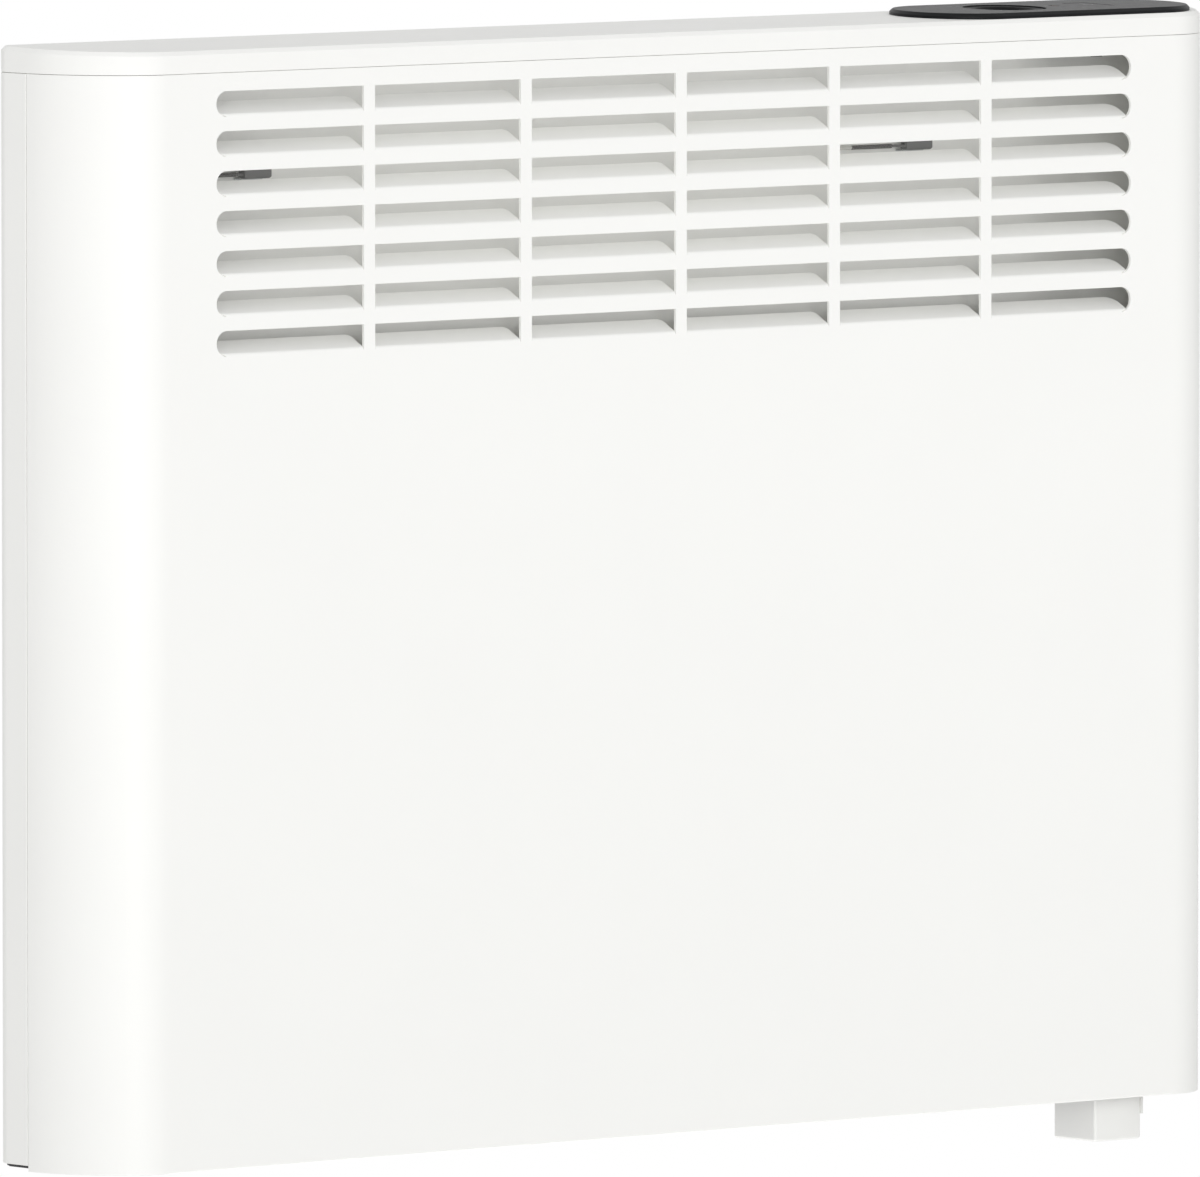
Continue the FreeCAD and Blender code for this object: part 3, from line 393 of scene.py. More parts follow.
class Varying:
    """A value over a surface; Python's operators add Math nodes to it."""

    def __init__(self, nodes, socket):
        self.nodes, self.socket = nodes, socket

    def math(self, operation, first, second):
        return self.nodes.node("Math", {"operation": operation}, {0: first, 1: second})

    def largest(self, other):
        return self.math("MAXIMUM", self, other)

    def __add__(self, other):
        return self.math("ADD", self, other)

    def __radd__(self, other):
        return self.math("ADD", other, self)

    def __sub__(self, other):
        return self.math("SUBTRACT", self, other)

    def __rsub__(self, other):
        return self.math("SUBTRACT", other, self)

    def __mul__(self, other):
        return self.math("MULTIPLY", self, other)

    def __rmul__(self, other):
        return self.math("MULTIPLY", other, self)

    def __lt__(self, other):
        return self.math("LESS_THAN", self, other)


class Nodes:
    """Adds nodes to one tree, of a material or of the world."""

    def __init__(self, tree):
        self.tree = tree

    def node(self, kind, settings=None, sockets=None, out=0):
        """Adds a node: its type, its settings, and the values or links of its sockets."""
        new = self.tree.nodes.new("ShaderNode" + kind)
        for key, value in (settings or {}).items():
            setattr(new, key, value)
        for key, value in (sockets or {}).items():
            self.feed(new.inputs[key], value)
        return Varying(self, new.outputs[out])

    def feed(self, socket, value):
        if isinstance(value, Varying):
            self.tree.links.new(value.socket, socket)
        else:
            socket.default_value = value

    def seen(self):
        """One where a ray from the camera, off a gloss or through a clear piece arrives, else nought."""
        camera, gloss, clear = (self.node("LightPath", out="Is " + kind + " Ray")
                                for kind in ("Camera", "Glossy", "Transmission"))
        return camera.largest(gloss).largest(clear)


class Finish(Nodes):
    """One procedural material on a Principled shader."""

    def __init__(self, name, **constants):
        self.material = bpy.data.materials.new(name)
        self.material.use_nodes = True
        super().__init__(self.material.node_tree)
        self.shader = next(n for n in self.tree.nodes if n.type == "BSDF_PRINCIPLED")
        for key, value in constants.items():
            socket = key.replace("_", " ").title().replace("Ior", "IOR")
            self.shader.inputs[socket].default_value = value
        self.place = self.node("TexCoord", out="Object")
        FINISHES[name] = self.material

    def stretched(self, scale):
        return self.node("Mapping", sockets={"Vector": self.place, "Scale": scale})

    def noise(self, scale, detail=2.0, place=None):
        sockets = {"Vector": place or self.place, "Scale": scale, "Detail": detail}
        return self.node("TexNoise", sockets=sockets)

    def cells(self, scale):
        return self.node("TexVoronoi", {"feature": "F1"}, {"Vector": self.place, "Scale": scale}, "Distance")

    def mix(self, factor, first, second):
        return self.node("Mix", {"data_type": "RGBA"}, {0: factor, 6: first, 7: second}, 2)

    def paint(self, tone, roughness=None, height=None, depth=0.0):
        """Feeds what varies into the shader."""
        self.feed(self.shader.inputs["Base Color"], tone)
        if roughness is not None:
            self.feed(self.shader.inputs["Roughness"], roughness)
        if height is not None:
            sockets = {"Strength": 1.0, "Distance": depth, "Height": height}
            self.feed(self.shader.inputs["Normal"], self.node("Bump", sockets=sockets, out="Normal"))


def shade(tone, factor):
    """A tone made lighter or darker, with its alpha."""
    return tuple(min(1.0, part * factor) for part in tone[:3]) + (1.0,)


def powder_coat(name, tone):
    """Satin powder coat: a fine orange peel and a barely uneven tone."""
    f = Finish(name, ior=1.48)
    peel = f.noise(scale=620, detail=3) + 0.35 * f.noise(scale=1900, detail=1)
    f.paint(tone=f.mix(f.noise(scale=14), shade(tone, 0.988), shade(tone, 1.008)),
            roughness=0.46 + 0.12 * f.noise(scale=300), height=peel, depth=3e-5)


def moulding(name, tone, rough=0.5, grain=1500, depth=2e-5, spread=0.02, gloss=0.5):
    """Moulded plastic with a spark-eroded grain."""
    f = Finish(name, ior=1.5, specular_ior_level=gloss)
    eroded = f.cells(grain) + 0.5 * f.noise(scale=grain * 2.2)
    f.paint(tone=f.mix(f.noise(scale=30, detail=3), shade(tone, 1 - spread), shade(tone, 1 + spread)),
            roughness=rough - 0.06 + 0.12 * f.noise(scale=grain / 3), height=eroded, depth=depth)


def zinc(name):
    """Zinc-plated steel: faint spangle and rolling marks."""
    f = Finish(name, metallic=1.0)
    spangle = f.cells(140)
    rolled = f.noise(scale=90, detail=4, place=f.stretched((1, 1, 14)))
    f.paint(tone=f.mix(rolled * 0.4 + spangle * 0.3, (0.50, 0.52, 0.54, 1), (0.72, 0.73, 0.73, 1)),
            roughness=0.34 + 0.22 * rolled, height=rolled + 0.3 * f.noise(scale=1400), depth=2e-5)


def aluminium(name):
    """Rolled and extruded aluminium with drawing lines along its length."""
    f = Finish(name, metallic=1.0)
    drawn = f.noise(scale=420, detail=5, place=f.stretched((0.02, 1, 1)))
    f.paint(tone=f.mix(drawn, (0.70, 0.71, 0.72, 1), (0.86, 0.87, 0.88, 1)),
            roughness=0.36 + 0.2 * drawn, height=drawn, depth=3e-5)


def ceramic(name):
    """Unglazed ceramic with a sandy face."""
    f = Finish(name)
    sand = f.noise(scale=1600, detail=4)
    f.paint(tone=f.mix(sand, (0.74, 0.71, 0.65, 1), (0.87, 0.85, 0.81, 1)),
            roughness=0.72 + 0.15 * f.noise(scale=500), height=sand, depth=6e-5)


def sleeving(name):
    """Coated glass-yarn sleeve: two crossed sets of threads."""
    f = Finish(name)
    threads = []
    for turn in (0.7, -0.7):
        place = f.node("Mapping", sockets={"Vector": f.place, "Rotation": (0, turn, 0)})
        sockets = {"Vector": place, "Scale": 260.0, "Distortion": 0.4, "Detail": 1.0}
        threads.append(f.node("TexWave", {"bands_direction": "X"}, sockets, "Fac"))
    braid = threads[0] * threads[1]
    f.paint(tone=f.mix(braid, (0.10, 0.10, 0.098, 1), (0.22, 0.22, 0.215, 1)),
            roughness=0.62 + 0.2 * braid, height=braid, depth=1.2e-4)


def rubber(name, tone, rough=0.7):
    """Rubber or silicone with a dusty, slightly uneven skin."""
    f = Finish(name)
    dust = f.noise(scale=220, detail=4)
    f.paint(tone=f.mix(dust, shade(tone, 0.9), shade(tone, 1.12)),
            roughness=rough - 0.1 + 0.2 * dust, height=f.noise(scale=2400), depth=2e-5)


def board(name):
    """Solder mask with copper runs showing through and pale pads."""
    f = Finish(name, ior=1.5)
    black, white = (0, 0, 0, 1), (1, 1, 1, 1)
    sockets = {"Vector": f.place, "Scale": 90.0, "Mortar Size": 0.05,
               "Color1": black, "Color2": black, "Mortar": white}
    runs = f.node("TexBrick", {"offset": 0.5}, sockets, "Fac")
    pads = f.cells(240) < 0.16
    mask = f.mix(runs, (0.006, 0.060, 0.022, 1), (0.020, 0.130, 0.045, 1))
    f.paint(tone=f.mix(pads, mask, (0.62, 0.60, 0.52, 1)),
            roughness=0.28 + 0.1 * f.noise(scale=500), height=runs + pads, depth=3e-5)


def lens(name):
    """Tinted clear pilot lamp with fine prisms."""
    f = Finish(name, transmission_weight=0.6, ior=1.49)
    prisms = f.node("TexWave", {"wave_type": "RINGS"}, {"Vector": f.place, "Scale": 900.0}, "Fac")
    f.paint(tone=f.mix(prisms, (0.62, 0.20, 0.02, 1), (0.80, 0.34, 0.05, 1)),
            roughness=0.08 + 0.1 * prisms, height=prisms, depth=4e-5)


class HEATER_OT_finishes(bpy.types.Operator):
    """Makes the finishes and gives each solid its own"""
    bl_idname = "heater.finishes"
    bl_label = "Finishes"

    def execute(self, context):
        colours = context.scene.heater_colours
        powder_coat("white_paint", colours.paint)
        # A darker copy of the white powder coat, as painted shade on the air guide behind the louvres
        powder_coat("shaded_inner_paint", colours.inside)
        self.mouldings(colours)
        zinc("zinc_steel")
        aluminium("bare_aluminium")
        ceramic("ceramic_white")
        sleeving("dark_sleeving")
        rubber("white_silicone", (0.55, 0.55, 0.53), rough=0.6)
        rubber("black_rubber", (0.012, 0.012, 0.012))
        board("green_board")
        lens("lamp_lens")
        for node, obj in frame["nodes"].items():
            obj.data.materials.clear()
            obj.data.materials.append(FINISHES[SLOT_OF[node]])
        return {"FINISHED"}

    def mouldings(self, colours):
        moulding("white_moulding", colours.moulding, rough=0.48, gloss=0.12)
        # The sensor's moulding is the white moulding darkened: painted shade for the sensor under the casing
        moulding("shaded_sensor_moulding", shade(colours.moulding, 0.93), gloss=0.16)
        moulding("anthracite_moulding", colours.panel, rough=0.42, grain=1300, depth=3e-5, spread=0.08,
                 gloss=0.12)
        moulding("black_dial", (0.003, 0.003, 0.0035), grain=1800, spread=0.1, gloss=0.04)
        moulding("pale_print", (0.30, 0.30, 0.30), rough=0.6, grain=2400, depth=1e-5, spread=0.05, gloss=0.2)
        moulding("dark_grille", (0.014, 0.014, 0.015), rough=0.55, grain=900, depth=3e-5, spread=0.1)
        moulding("black_moulding", (0.010, 0.010, 0.010), rough=0.45, grain=1100, depth=3e-5, spread=0.12)
        moulding("grey_moulding", (0.17, 0.17, 0.17), grain=1100, depth=3e-5, spread=0.05)


class HEATER_OT_front_cover(bpy.types.Operator):
    """Presses the front cover: louvre cells, margins, rounded corners and the bottom flange"""
    bl_idname = "heater.front_cover"
    bl_label = "Front cover"

    # Segments of the curves
    END_STEPS, BEND_STEPS, TIP_STEPS = 8, 6, 6
    TIGHT_STEPS, SLACK_STEPS, FOLD_STEPS = 12, 10, 4

    # A flap is a little narrower than its opening at an inner end, and widens in steps at an outer one. The
    # depths of the steps are shares of the bend's radius, and the reach of an end is a share of its own
    INSET = 0.25 * MM
    INSET_DEPTHS = (0.001,)
    GAIN = 0.5 * MM
    GAIN_DEPTHS = (0.001, 0.03, 0.1, 0.2, 0.3, 0.45)
    END_REACH = 1.01
    OUTER_TIP_R = 5.0 * MM

    FOLD_R = 0.9 * MM
    EDGE_R = 0.34 * MM

    def execute(self, context):
        cover = context.scene.heater_cover
        inner = self.cell(cover, "front_cover_sheet", 1, 0)
        left = self.cell(cover, "left_louvre", 0, -1)
        right = self.cell(cover, "right_louvre", cover.columns - 1, 1)
        arrayed(inner, cover.columns - 2, (cover.column_pitch, 0, 0))
        for cells in (inner, left, right):
            arrayed(cells, cover.rows, (0, 0, -cover.row_pitch))
        sheet = joined(inner, left, right)
        self.margins(sheet, cover)
        self.corners(sheet, cover)
        self.flange(sheet, cover)
        edit(sheet)
        weld()
        bpy.ops.mesh.normals_make_consistent(inside=False)
        shape = bmesh.from_edit_mesh(sheet.data)
        if max(shape.faces, key=lambda f: f.calc_area()).normal.y > 0:
            bpy.ops.mesh.flip_normals()
        modify(sheet, "SOLIDIFY", thickness=cover.sheet, offset=-1, use_even_offset=True)
        soften(sheet, self.EDGE_R, segments=3, degrees=50)
        finished(sheet, "white_paint", nodes=["front_cover"])
        return {"FINISHED"}

    def cell(self, cover, name, column, outer):
        """Sheet round an opening of the top row, and its flap; an outer end, left or right, is round."""
        x = (column - (cover.columns - 1) / 2) * cover.column_pitch
        half, top = cover.slot_length / 2, cover.slot_top
        low = top - cover.slot_height
        place = (x, FRONT, (low + top) / 2)
        opening = start("plane", name, (cover.slot_length, cover.slot_height, 1), size=1,
                        location=place, rotation=UPRIGHT)
        edit(opening)
        if outer:
            pick("VERT", at(x=x + outer * half))
            rounded("VERTICES", cover.end_r, self.END_STEPS)
        everything()
        bpy.ops.mesh.delete(type="ONLY_FACE")
        edge = start("plane", name + "_edge", (cover.column_pitch, cover.row_pitch, 1), size=1,
                     location=place, rotation=UPRIGHT)
        edit(edge)
        everything()
        bpy.ops.mesh.delete(type="ONLY_FACE")
        edit(joined(opening, edge))
        everything()
        bpy.ops.mesh.fill(use_beauty=True)
        pick("EDGE", lambda e: at(z=low)(e) and e.calc_length() > half)
        bpy.ops.mesh.spin(steps=self.BEND_STEPS, angle=cover.flap_angle,
                          center=(x, FRONT + cover.bend_r, low), axis=(1, 0, 0))
        pull(y=cover.flap * math.sin(cover.flap_angle), z=cover.flap * math.cos(cover.flap_angle))
        self.flap_ends(opening, cover, x, outer)
        deselect()
        return opening

    def flap_ends(self, opening, cover, x, outer):
        """Narrows or widens the ends of a flap and rounds its tips."""
        tip = max(v.co.y for v in bmesh.from_edit_mesh(opening.data).verts)
        end = cover.slot_length / 2 - self.END_REACH * cover.end_r
        for side in (-1, 1):
            shift, corner, depths = -self.INSET, cover.tip_r, self.INSET_DEPTHS
            if side == outer:
                shift, corner, depths = self.GAIN, self.OUTER_TIP_R, self.GAIN_DEPTHS
            for depth in depths:
                behind = FRONT + depth * cover.bend_r
                pick("VERT", lambda v: v.co.y > behind and side * (v.co.x - x) > end)
                bpy.ops.transform.translate(value=(side * shift, 0, 0))
            pick("VERT", lambda v: abs(v.co.y - tip) < FINE and side * (v.co.x - x) > 0)
            rounded("VERTICES", corner, self.TIP_STEPS)

    def margins(self, sheet, cover):
        """Plain sheet round the grille, out to the flat front's edges."""
        middle = cover.slot_top - cover.slot_height / 2
        top = middle + cover.row_pitch / 2
        low = top - cover.rows * cover.row_pitch
        edge = cover.columns * cover.column_pitch / 2
        flat = SIDE - cover.corner_x
        edit(sheet)
        weld()
        pick("EDGE", at(z=top, y=FRONT))
        pull(z=COVER_HIGH.z - top)
        pick("EDGE", at(z=low, y=FRONT))
        pull(z=COVER_LOW.z - low)
        for side in (-1, 1):
            pick("EDGE", at(x=side * edge, y=FRONT))
            pull(x=side * (flat - edge))
        deselect()

    def corners(self, sheet, cover):
        """Each corner: a tight arc off the front, and a slack one into the side."""
        deep = SEAM - FRONT
        tight = cover.corner_r
        slack = (cover.corner_x**2 + deep**2 - 2 * deep * tight) / (2 * (cover.corner_x - tight))
        flat = SIDE - cover.corner_x
        turn = math.atan2(deep - tight, flat - SIDE + slack)
        for side in (-1, 1):
            edit(sheet)
            pick("EDGE", at(x=side * flat, y=FRONT))
            axis = (0, 0, -side)
            bpy.ops.mesh.spin(steps=self.TIGHT_STEPS, angle=math.pi / 2 - turn,
                              center=(side * flat, FRONT + tight, 0), axis=axis)
            bpy.ops.mesh.spin(steps=self.SLACK_STEPS, angle=turn,
                              center=(side * (SIDE - slack), SEAM, 0), axis=axis)
            deselect()

    def flange(self, sheet, cover):
        """Flange along the bottom of the flat front, with a rounded fold."""
        edit(sheet)
        pick("EDGE", at(z=COVER_LOW.z, y=FRONT))
        pull(y=cover.flange)
        pick("EDGE", at(z=COVER_LOW.z, y=FRONT))
        rounded("EDGES", self.FOLD_R, self.FOLD_STEPS)
        deselect()


class HEATER_OT_casing(bpy.types.Operator):
    """Rounds the edges of the rear shell, the top cap and the inlet grille"""
    bl_idname = "heater.casing"
    bl_label = "Rear shell, cap and inlet grille"

    def execute(self, context):
        dressed("rear_shell", width=0.35 * MM, segments=3)
        dressed("top_cap", width=0.5 * MM, segments=3)
        dressed("bottom_grille", width=0.25 * MM)
        return {"FINISHED"}


class HEATER_OT_screws(bpy.types.Operator):
    """Turns the countersunk cover screws with cross recesses, and the domed rivets"""
    bl_idname = "heater.screws"
    bl_label = "Screws and rivets"

    # Millimetres
    SCREW = [(3.0, 0.02), (3.3, 0.12), (1.6, 1.8), (1.6, 8.3), (1.0, 9)]
    SCREW_PLACE = (-230, -75.4, -225)
    SCREW_MOVES = [(140, 0, 0), (320, 0, 0), (460, 0, 0)]
    RECESS = [(4.2, 0.8, 2.0), (0.8, 4.2, 2.0)]
    RIVET = [(2.2, 0), (2.2, -0.25), (1.8, -0.65), (1.1, -0.92), (0.4, -1.0)]
    RIVET_PLACE = (-254, -18, -118)
    RIVET_MOVES = [(0, 0, 30), (484, 0, 0), (484, 0, 30), (45.7, -39.6, 283.9), (397.1, -39.6, 283.9)]

    def execute(self, context):
        screw = turned("countersunk_screws", self.SCREW_PLACE, "z", self.SCREW)
        for span in self.RECESS:
            cut(screw, start("cube", "recess", metres(span), size=1, location=metres(self.SCREW_PLACE)))
        stand_in(repeated(screw, self.SCREW_MOVES), "cover_screws")
        rivet = turned("domed_rivets", self.RIVET_PLACE, "y", self.RIVET, sides=24)
        stand_in(repeated(rivet, self.RIVET_MOVES), "bracket_rivets")
        return {"FINISHED"}


class HEATER_OT_controls(bpy.types.Operator):
    """Finishes the control panel, its dial, its button and its lamp"""
    bl_idname = "heater.controls"
    bl_label = "Controls"

    # Millimetres: the rim from the dial's radius, the bowl from its middle, heights from the cap
    RIM = [(-0.4, -4), (0, -3.6), (0, 1.5), (-0.1, 1.75), (-0.4, 1.9)]
    BOWL = [(13.0, 1.9), (12.3, 1.75), (10.7, 0.9), (9.8, -0.6), (9.0, -1.5), (7.8, -1.8)]

    def execute(self, context):
        panel = context.scene.heater_panel
        dressed("control_fascia", width=0.4 * MM, segments=3)
        dressed("power_button", width=0.2 * MM, finish="anthracite_moulding")
        dressed("indicator_lens", width=0.15 * MM)
        rim = [(panel.dial_r / MM + out, height) for out, height in self.RIM]
        place = (panel.dial_x / MM, -panel.forward / MM, panel.pivot_z / MM)
        dial = turned("dial", place, "z", rim + self.BOWL, sides=64)
        stand_in(tilted(dial), "dial_knob")
        return {"FINISHED"}


class HEATER_OT_markings(bpy.types.Operator):
    """Prints the dial's scale on the panel, its pointer, and the mark on the button"""
    bl_idname = "heater.markings"
    bl_label = "Markings"

    # Scale: every other tick is long and has a numeral. Turns in degrees, sizes in millimetres
    TICKS, FIRST_TURN, TICK_TURN = 13, -90, 22.5
    TICK_R, TICK_WIDTH, LONG_TICK, SHORT_TICK = 18.2, 0.35, 1.8, 1.0
    NUMERAL, NUMERAL_DEPTH = 3.6, 0.025
    INK = 0.05

    # Pointer on the dial's rim, and the ring and stroke on the button, in millimetres
    DIAL_TOP, POINTER_R, POINTER = 1.88, 14.8, (0.7, 2.8, INK)
    BUTTON_DROP = 0.05
    RING = [(1.7, -0.02), (2.1, -0.02), (2.1, 0.03), (1.7, 0.03), (1.7, -0.02)]
    STROKE_Y, STROKE = 4.2, (0.45, 3.4, INK)

    def execute(self, context):
        panel = context.scene.heater_panel
        height = panel.pivot_z + panel.rise
        middle = Vector((panel.dial_x, -panel.forward, height))
        scale = joined(*self.scale(middle, panel.scale_r))
        finished(tilted(scale), "pale_print").name = "dial_scale"
        top = middle - Vector((0, 0, panel.rise - self.DIAL_TOP * MM))
        pointer = self.bar("dial_pointer", top - Vector((0, self.POINTER_R * MM, 0)), self.POINTER)
        finished(tilted(pointer), "pale_print", "dial")
        spot = Vector((panel.button_x, -panel.forward, height - self.BUTTON_DROP * MM))
        mark = turned("button_mark", spot / MM, "z", self.RING)
        stroke = self.bar("stroke", spot + Vector((0, self.STROKE_Y * MM, 0)), self.STROKE)
        finished(tilted(joined(mark, stroke)), "pale_print", "button")
        return {"FINISHED"}

    def scale(self, middle, numeral_r):
        """Ticks and numerals round the dial."""
        marks = []
        for step in range(self.TICKS):
            turn = math.radians(self.FIRST_TURN - self.TICK_TURN * step)
            out = Vector((math.cos(turn), math.sin(turn), 0))
            numbered = step % 2 == 0
            reach = self.LONG_TICK if numbered else self.SHORT_TICK
            place = middle + out * (self.TICK_R + reach / 2) * MM
            marks.append(self.bar("tick", place, (reach, self.TICK_WIDTH, self.INK), turn))
            if numbered:
                marks.append(self.numeral(str(step // 2), middle + out * numeral_r))
        return marks

    def bar(self, name, place, span, turn=0.0):
        return start("cube", name, metres(span), size=1, location=place, rotation=(0, 0, turn))

    def numeral(self, body, place):
        deselect()
        bpy.ops.object.text_add(location=(0, 0, 0))
        text = bpy.context.object.data
        text.body = body
        text.size = self.NUMERAL * MM
        text.extrude = self.NUMERAL_DEPTH * MM
        text.align_x = text.align_y = "CENTER"
        bpy.ops.object.convert(target="MESH")
        mark = bpy.context.object
        mark.location = place
        settle()
        return mark


class HEATER_OT_sensor(bpy.types.Operator):
    """Finishes the room-air sensor's housing and collar"""
    bl_idname = "heater.sensor"
    bl_label = "Sensor"

    def execute(self, context):
        # Housing and collar get the darkened copy of the white moulding: painted shade under the casing
        dressed("sensor_housing", width=0.25 * MM, finish="shaded_sensor_moulding")
        dressed("sensor_collar", width=0.2 * MM, finish="shaded_sensor_moulding")
        return {"FINISHED"}


class HEATER_OT_cutouts(bpy.types.Operator):
    """Finishes the thermal cut-outs, their sleeves and the wires"""
    bl_idname = "heater.cutouts"
    bl_label = "Thermal cut-outs and wires"

    # Millimetres
    SLEEVE = [(0.8, 0), (0.9, 0.2), (0.9, 21.8), (0.8, 22)]
    SLEEVE_PLACE = (-240.5, -64, WIRE_Z)
    SLEEVE_MOVES = [(347.8, 0, 0)]

    def execute(self, context):
        for node in ("thermal_cutout_left", "thermal_cutout_right"):
            dressed(node)
        for node in ("right_lead", "left_lead", "return_lead", "supply_lead", "sensor_lead"):
            dressed(node, width=0.55 * MM, segments=3, degrees=50)
        sleeve = turned("wire_sleeves", self.SLEEVE_PLACE, "x", self.SLEEVE, sides=20)
        stand_in(repeated(sleeve, self.SLEEVE_MOVES), "lead_sleeves")
        return {"FINISHED"}


class HEATER_OT_air_guide(bpy.types.Operator):
    """Folds the reflector and the air guide behind the louvres, with rounded upright bends and a hood"""
    bl_idname = "heater.air_guide"
    bl_label = "Reflector and air guide"

    BEND_STEPS = 10
    EDGE_R = 0.12 * MM

    # Millimetres: square holes for the wires, the reflector's ends, and the lip below it
    HOLES_X, HOLE = (-205.3, 104, 146.1), 4
    REFLECTOR_X, LIP = (-228, 203), 7

    def execute(self, context):
        low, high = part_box("heat_shield")
        guide = context.scene.heater_guide
        wall = self.wall(guide, low, high)
        back = self.reflector(guide, low)
        joined(wall, back, self.hood(guide, high))
        modify(wall, "SOLIDIFY", thickness=guide.sheet, offset=-1)
        for x in self.HOLES_X:
            place = (x * MM, -guide.forward, WIRE_Z * MM)
            cut(wall, start("cube", "wire_hole", metres([self.HOLE] * 3), size=1, location=place))
        soften(wall, self.EDGE_R)
        # The air guide gets the darker copy of the powder coat: painted shade inside the casing
        stand_in(wall, "heat_shield", "shaded_inner_paint")
        return {"FINISHED"}

    def wall(self, guide, low, high):
        """Wall that steps back toward both ends and leans forward below its knee."""
        span = (guide.right + guide.left, high.z - guide.knee, 1)
        place = ((guide.right - guide.left) / 2, -guide.forward, (high.z + guide.knee) / 2)
        wall = start("plane", "air_guide", span, size=1, rotation=UPRIGHT, location=place)
        edit(wall)
        bends = []
        for side, edge, end in ((1, guide.right, high.x), (-1, -guide.left, low.x)):
            pick("EDGE", at(x=edge))
            pull(x=side * guide.step, y=guide.forward - guide.rear)
            pick("EDGE", at(x=edge + side * guide.step))
            pull(x=end - edge - side * guide.step)
            bends += [edge, edge + side * guide.step]
        pick("EDGE", lambda e: any(at(x=x)(e) for x in bends))
        rounded("EDGES", guide.bend, self.BEND_STEPS)
        pick("EDGE", at(z=guide.knee))
        pull(y=-guide.lean, z=guide.low - guide.knee)
        deselect()
        return wall

    def hood(self, guide, high):
        """Hood over the top of the wall; its right end clears the power switch."""
        span = (guide.right + guide.left, guide.hood, 1)
        place = ((guide.right - guide.left) / 2, -guide.forward - guide.hood / 2, high.z)
        hood = start("plane", "hood", span, size=1, location=place)
        edit(hood)
        pick("EDGE", at(x=guide.right))
        pull(x=guide.hood_end - guide.right)
        pick("VERT", at(x=guide.hood_end, y=-guide.forward))
        bpy.ops.transform.translate(value=(0, -guide.clear, 0))
        deselect()
        return hood

    def reflector(self, guide, low):
        """Upright plate behind the element, with a lip below, that slopes forward to the air guide."""
        left, right = metres(self.REFLECTOR_X)
        span = (right - left, guide.slope_z - low.z, 1)
        place = ((left + right) / 2, -guide.plate, (guide.slope_z + low.z) / 2)
        back = start("plane", "reflector", span, size=1, rotation=UPRIGHT, location=place)
        edit(back)
        pick("EDGE", at(z=guide.slope_z))
        pull(y=guide.plate - guide.forward - guide.lean, z=guide.low - guide.slope_z)
        pick("EDGE", at(z=low.z))
        pull(y=-self.LIP * MM)
        deselect()
        return back


class HEATER_OT_element(bpy.types.Operator):
    """Finishes the heating element's fins and bushes, the brackets and the spacers"""
    bl_idname = "heater.element"
    bl_label = "Heating element"

    # Millimetres: a bush from its bracket's plane, and the bracket's place with the way inward
    BUSH = [(4.25, -5), (7.0, -5), (7.4, -4.6), (7.4, 0.55), (9.5, 0.55), (10, 1.0), (10, 3.1), (9.5, 3.55),
            (4.25, 3.55), (4.25, -5)]
    BUSH_PLACES = [((-246, -55, -100), 1), ((222, -55, -100), -1)]

    def execute(self, context):
        for node in ("element_fins", "element_bracket_left", "element_bracket_right", "cutout_bracket_left",
                     "cutout_bracket_right", "shield_spacers"):
            dressed(node, width=0.2 * MM)
        bushes = []
        for place, inward in self.BUSH_PLACES:
            profile = [(r, inward * h) for r, h in self.BUSH]
            bushes.append(turned("ceramic_bushes", place, "x", profile, sides=40))
        stand_in(joined(*bushes), "element_bushes")
        return {"FINISHED"}


class HEATER_OT_electrics(bpy.types.Operator):
    """Rounds the edges of the connection box and of the other electric pieces"""
    bl_idname = "heater.electrics"
    bl_label = "Electrics"

    def execute(self, context):
        for node in ("control_box", "control_box_lid", "terminal_block", "power_relay", "switch_body",
                     "dial_potentiometer", "sensor_probe"):
            dressed(node)
        return {"FINISHED"}


class HEATER_OT_wall_side(bpy.types.Operator):
    """Finishes the rails and latches, and turns the rubber buffers and the cable grommet"""
    bl_idname = "heater.wall_side"
    bl_label = "Wall side"

    # Millimetres
    BUFFER = [(2.4, -18.5), (2.95, -17.9), (2.95, -16), (6.5, -16), (7.0, -15.5), (7.0, -3.6), (6.4, -3.0),
              (5.4, -3.0), (5.4, -0.5), (4.9, 0)]
    BUFFER_PLACE = (-270, 0, -195)
    BUFFER_MOVES = [(540, 0, 0)]
    GROMMET = [(4.0, -19), (6.6, -19), (6.98, -18.5), (6.98, -16), (9.0, -16), (9.5, -15.6), (9.5, -14.6),
               (9.0, -14), (5.2, -14), (4.4, -14.3), (4.0, -14.9), (4.0, -19)]
    GROMMET_PLACE = (222, 0, -190)

    def execute(self, context):
        dressed("hanger_rail")
        dressed("lower_rail")
        for node in ("latch_left", "latch_right"):
            dressed(node, width=0.5 * MM, segments=3, degrees=50)
        buffer = turned("rubber_buffers", self.BUFFER_PLACE, "y", self.BUFFER)
        stand_in(repeated(buffer, self.BUFFER_MOVES), "wall_buffers")
        grommet = turned("cable_grommet", self.GROMMET_PLACE, "y", self.GROMMET, sides=40)
        stand_in(grommet, "cable_gland")
        return {"FINISHED"}


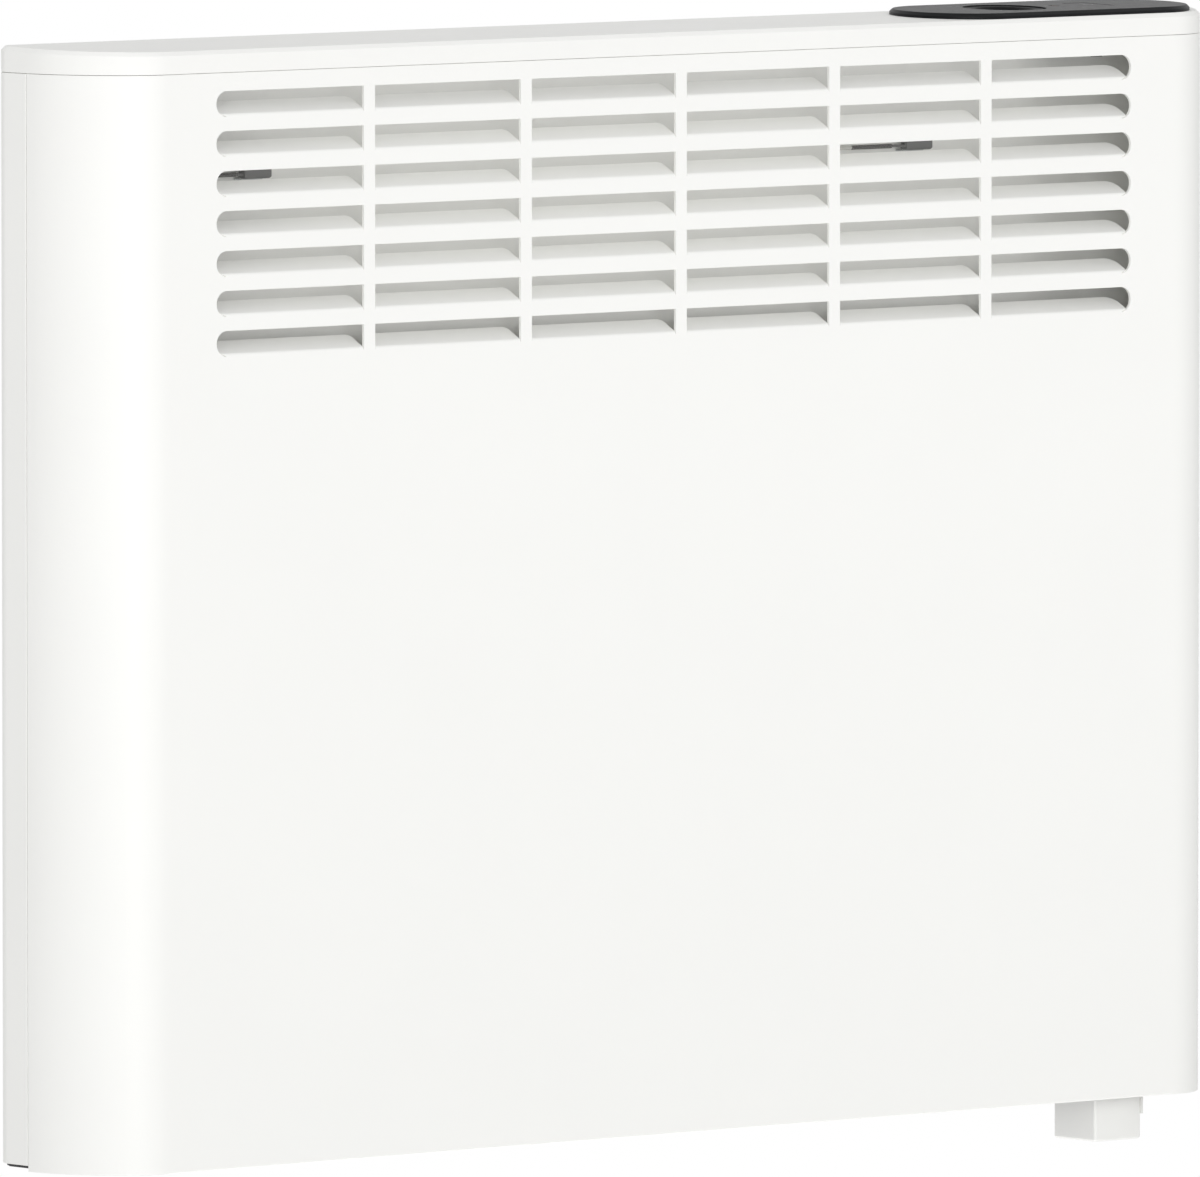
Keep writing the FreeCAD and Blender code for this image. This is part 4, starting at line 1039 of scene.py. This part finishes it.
class HEATER_OT_stage(bpy.types.Operator):
    """Sets the floor, the light and the camera"""
    bl_idname = "heater.stage"
    bl_label = "Stage"

    # Floor: size, place and drop below the casing in metres, its paper, and its glow where it is seen
    FLOOR, FLOOR_Y, FLOOR_DROP = 6.0, 0.2, 0.45
    PAPER_DARK, PAPER_PALE = (0.90, 0.90, 0.89, 1), (0.93, 0.93, 0.92, 1)
    PAPER_ROUGH, PAPER_CLOUDS = 0.9, 6
    GLOW, NO_GLOW = (0.3, 0.3, 0.3, 1), (0, 0, 0, 1)

    # Sky: its level as a light, the fall of that toward the right, and where the fall starts
    WHITE = (1, 1, 1, 1)
    SKY, SKY_FALL, SKY_EDGE = 0.74, 0.8, 0.4
    BOUNCES = 24

    # Sun and fill: power, then spread and turns in degrees, sizes and places in metres
    SUN, SUN_SPREAD = 1.15, 35
    SUN_PLACE, SUN_TURN = (-1.6, -2.5, 0.5), (88, 0, -25)
    FILL, FILL_X, FILL_Y = 1.0, 0.5, 0.06
    FILL_BACK, FILL_DROP, FILL_TURN = -0.01, 0.4, (180, 0, 0)

    # Camera: place and far end of its view in metres, turn in degrees, sensor and lens in millimetres
    CAMERA_PLACE, CAMERA_TURN = (-6.023, -7.159, 0.652), (90 - 4.028, 0, -40.2)
    SENSOR, LENS, FAR = 36, 686.9, 60

    def execute(self, context):
        self.floor()
        self.sky(context.scene)
        self.lamps()
        self.camera(context.scene)
        return {"FINISHED"}

    def floor(self):
        place = (0, self.FLOOR_Y, CAD_BOX[0].z - self.FLOOR_DROP)
        ground = start("plane", "floor", size=self.FLOOR, location=place)
        paper = Finish("pale_floor", roughness=self.PAPER_ROUGH)
        paper.paint(tone=paper.mix(paper.noise(scale=self.PAPER_CLOUDS), self.PAPER_DARK, self.PAPER_PALE))
        glow = paper.mix(paper.seen(), self.NO_GLOW, self.GLOW)
        paper.feed(paper.shader.inputs["Emission Color"], glow)
        paper.feed(paper.shader.inputs["Emission Strength"], 1.0)
        ground.data.materials.append(paper.material)

    def sky(self, scene):
        """White where it is seen; as a light, weaker from the right."""
        scene.world = scene.world or bpy.data.worlds.new("studio")
        scene.world.use_nodes = True
        world = Nodes(scene.world.node_tree)
        shader = next(n for n in world.tree.nodes if n.type == "BACKGROUND")
        world.feed(shader.inputs["Color"], self.WHITE)
        across = world.node("SeparateXYZ", sockets={0: world.node("TexCoord", out="Object")})
        level = self.SKY - self.SKY_FALL * (across - self.SKY_EDGE).largest(0.0)
        seen = world.seen()
        world.feed(shader.inputs["Strength"], level * (1 - seen) + seen)
        scene.cycles.max_bounces = scene.cycles.diffuse_bounces = self.BOUNCES

    def lamps(self):
        """A soft sun from the front left, and a fill under the casing."""
        deselect()
        bpy.ops.object.light_add(type="SUN", location=self.SUN_PLACE)
        sun = bpy.context.object
        sun.name = "soft_key"
        sun.data.energy = self.SUN
        sun.data.angle = math.radians(self.SUN_SPREAD)
        sun.rotation_euler = radians(self.SUN_TURN)
        place = (0, self.FILL_BACK, CAD_BOX[0].z - self.FILL_DROP)
        bpy.ops.object.light_add(type="AREA", location=place, rotation=radians(self.FILL_TURN))
        fill = bpy.context.object
        fill.name = "under_fill"
        fill.data.shape = "RECTANGLE"
        fill.data.size, fill.data.size_y = self.FILL_X, self.FILL_Y
        fill.data.energy = self.FILL

    def camera(self, scene):
        deselect()
        bpy.ops.object.camera_add(location=self.CAMERA_PLACE, rotation=radians(self.CAMERA_TURN))
        camera = bpy.context.object
        camera.name = "photo_view"
        camera.data.sensor_width = self.SENSOR
        camera.data.lens = self.LENS
        camera.data.clip_end = self.FAR
        scene.camera = camera
        scene.view_settings.view_transform = "Standard"


GROUPS = {"heater_cover": HeaterCover, "heater_panel": HeaterPanel, "heater_guide": HeaterGuide,
          "heater_colours": HeaterColours}
OPERATORS = (HEATER_OT_finishes, HEATER_OT_front_cover, HEATER_OT_casing, HEATER_OT_screws,
             HEATER_OT_controls, HEATER_OT_markings, HEATER_OT_sensor, HEATER_OT_cutouts,
             HEATER_OT_air_guide, HEATER_OT_element, HEATER_OT_electrics, HEATER_OT_wall_side,
             HEATER_OT_stage)


class HEATER_PT_panel(bpy.types.Panel):
    """Lists the steps and sizes of the heater"""
    bl_idname = "HEATER_PT_panel"
    bl_label = "Heater"
    bl_space_type = "VIEW_3D"
    bl_region_type = "UI"
    bl_category = "Heater"

    def draw(self, context):
        for step in OPERATORS:
            self.layout.operator(step.bl_idname)
        for name in GROUPS:
            group = getattr(context.scene, name)
            for key in group.__annotations__:
                self.layout.prop(group, key)


CLASSES = tuple(GROUPS.values()) + OPERATORS + (HEATER_PT_panel,)


def register():
    for each in CLASSES:
        bpy.utils.register_class(each)
    for name, group in GROUPS.items():
        setattr(bpy.types.Scene, name, PointerProperty(type=group))


def unregister():
    for name in GROUPS:
        delattr(bpy.types.Scene, name)
    for each in reversed(CLASSES):
        bpy.utils.unregister_class(each)


def main():
    register()
    for step in OPERATORS:
        group, name = step.bl_idname.split(".")
        getattr(getattr(bpy.ops, group), name)()
    deselect()


if __name__ == "__main__":
    main()
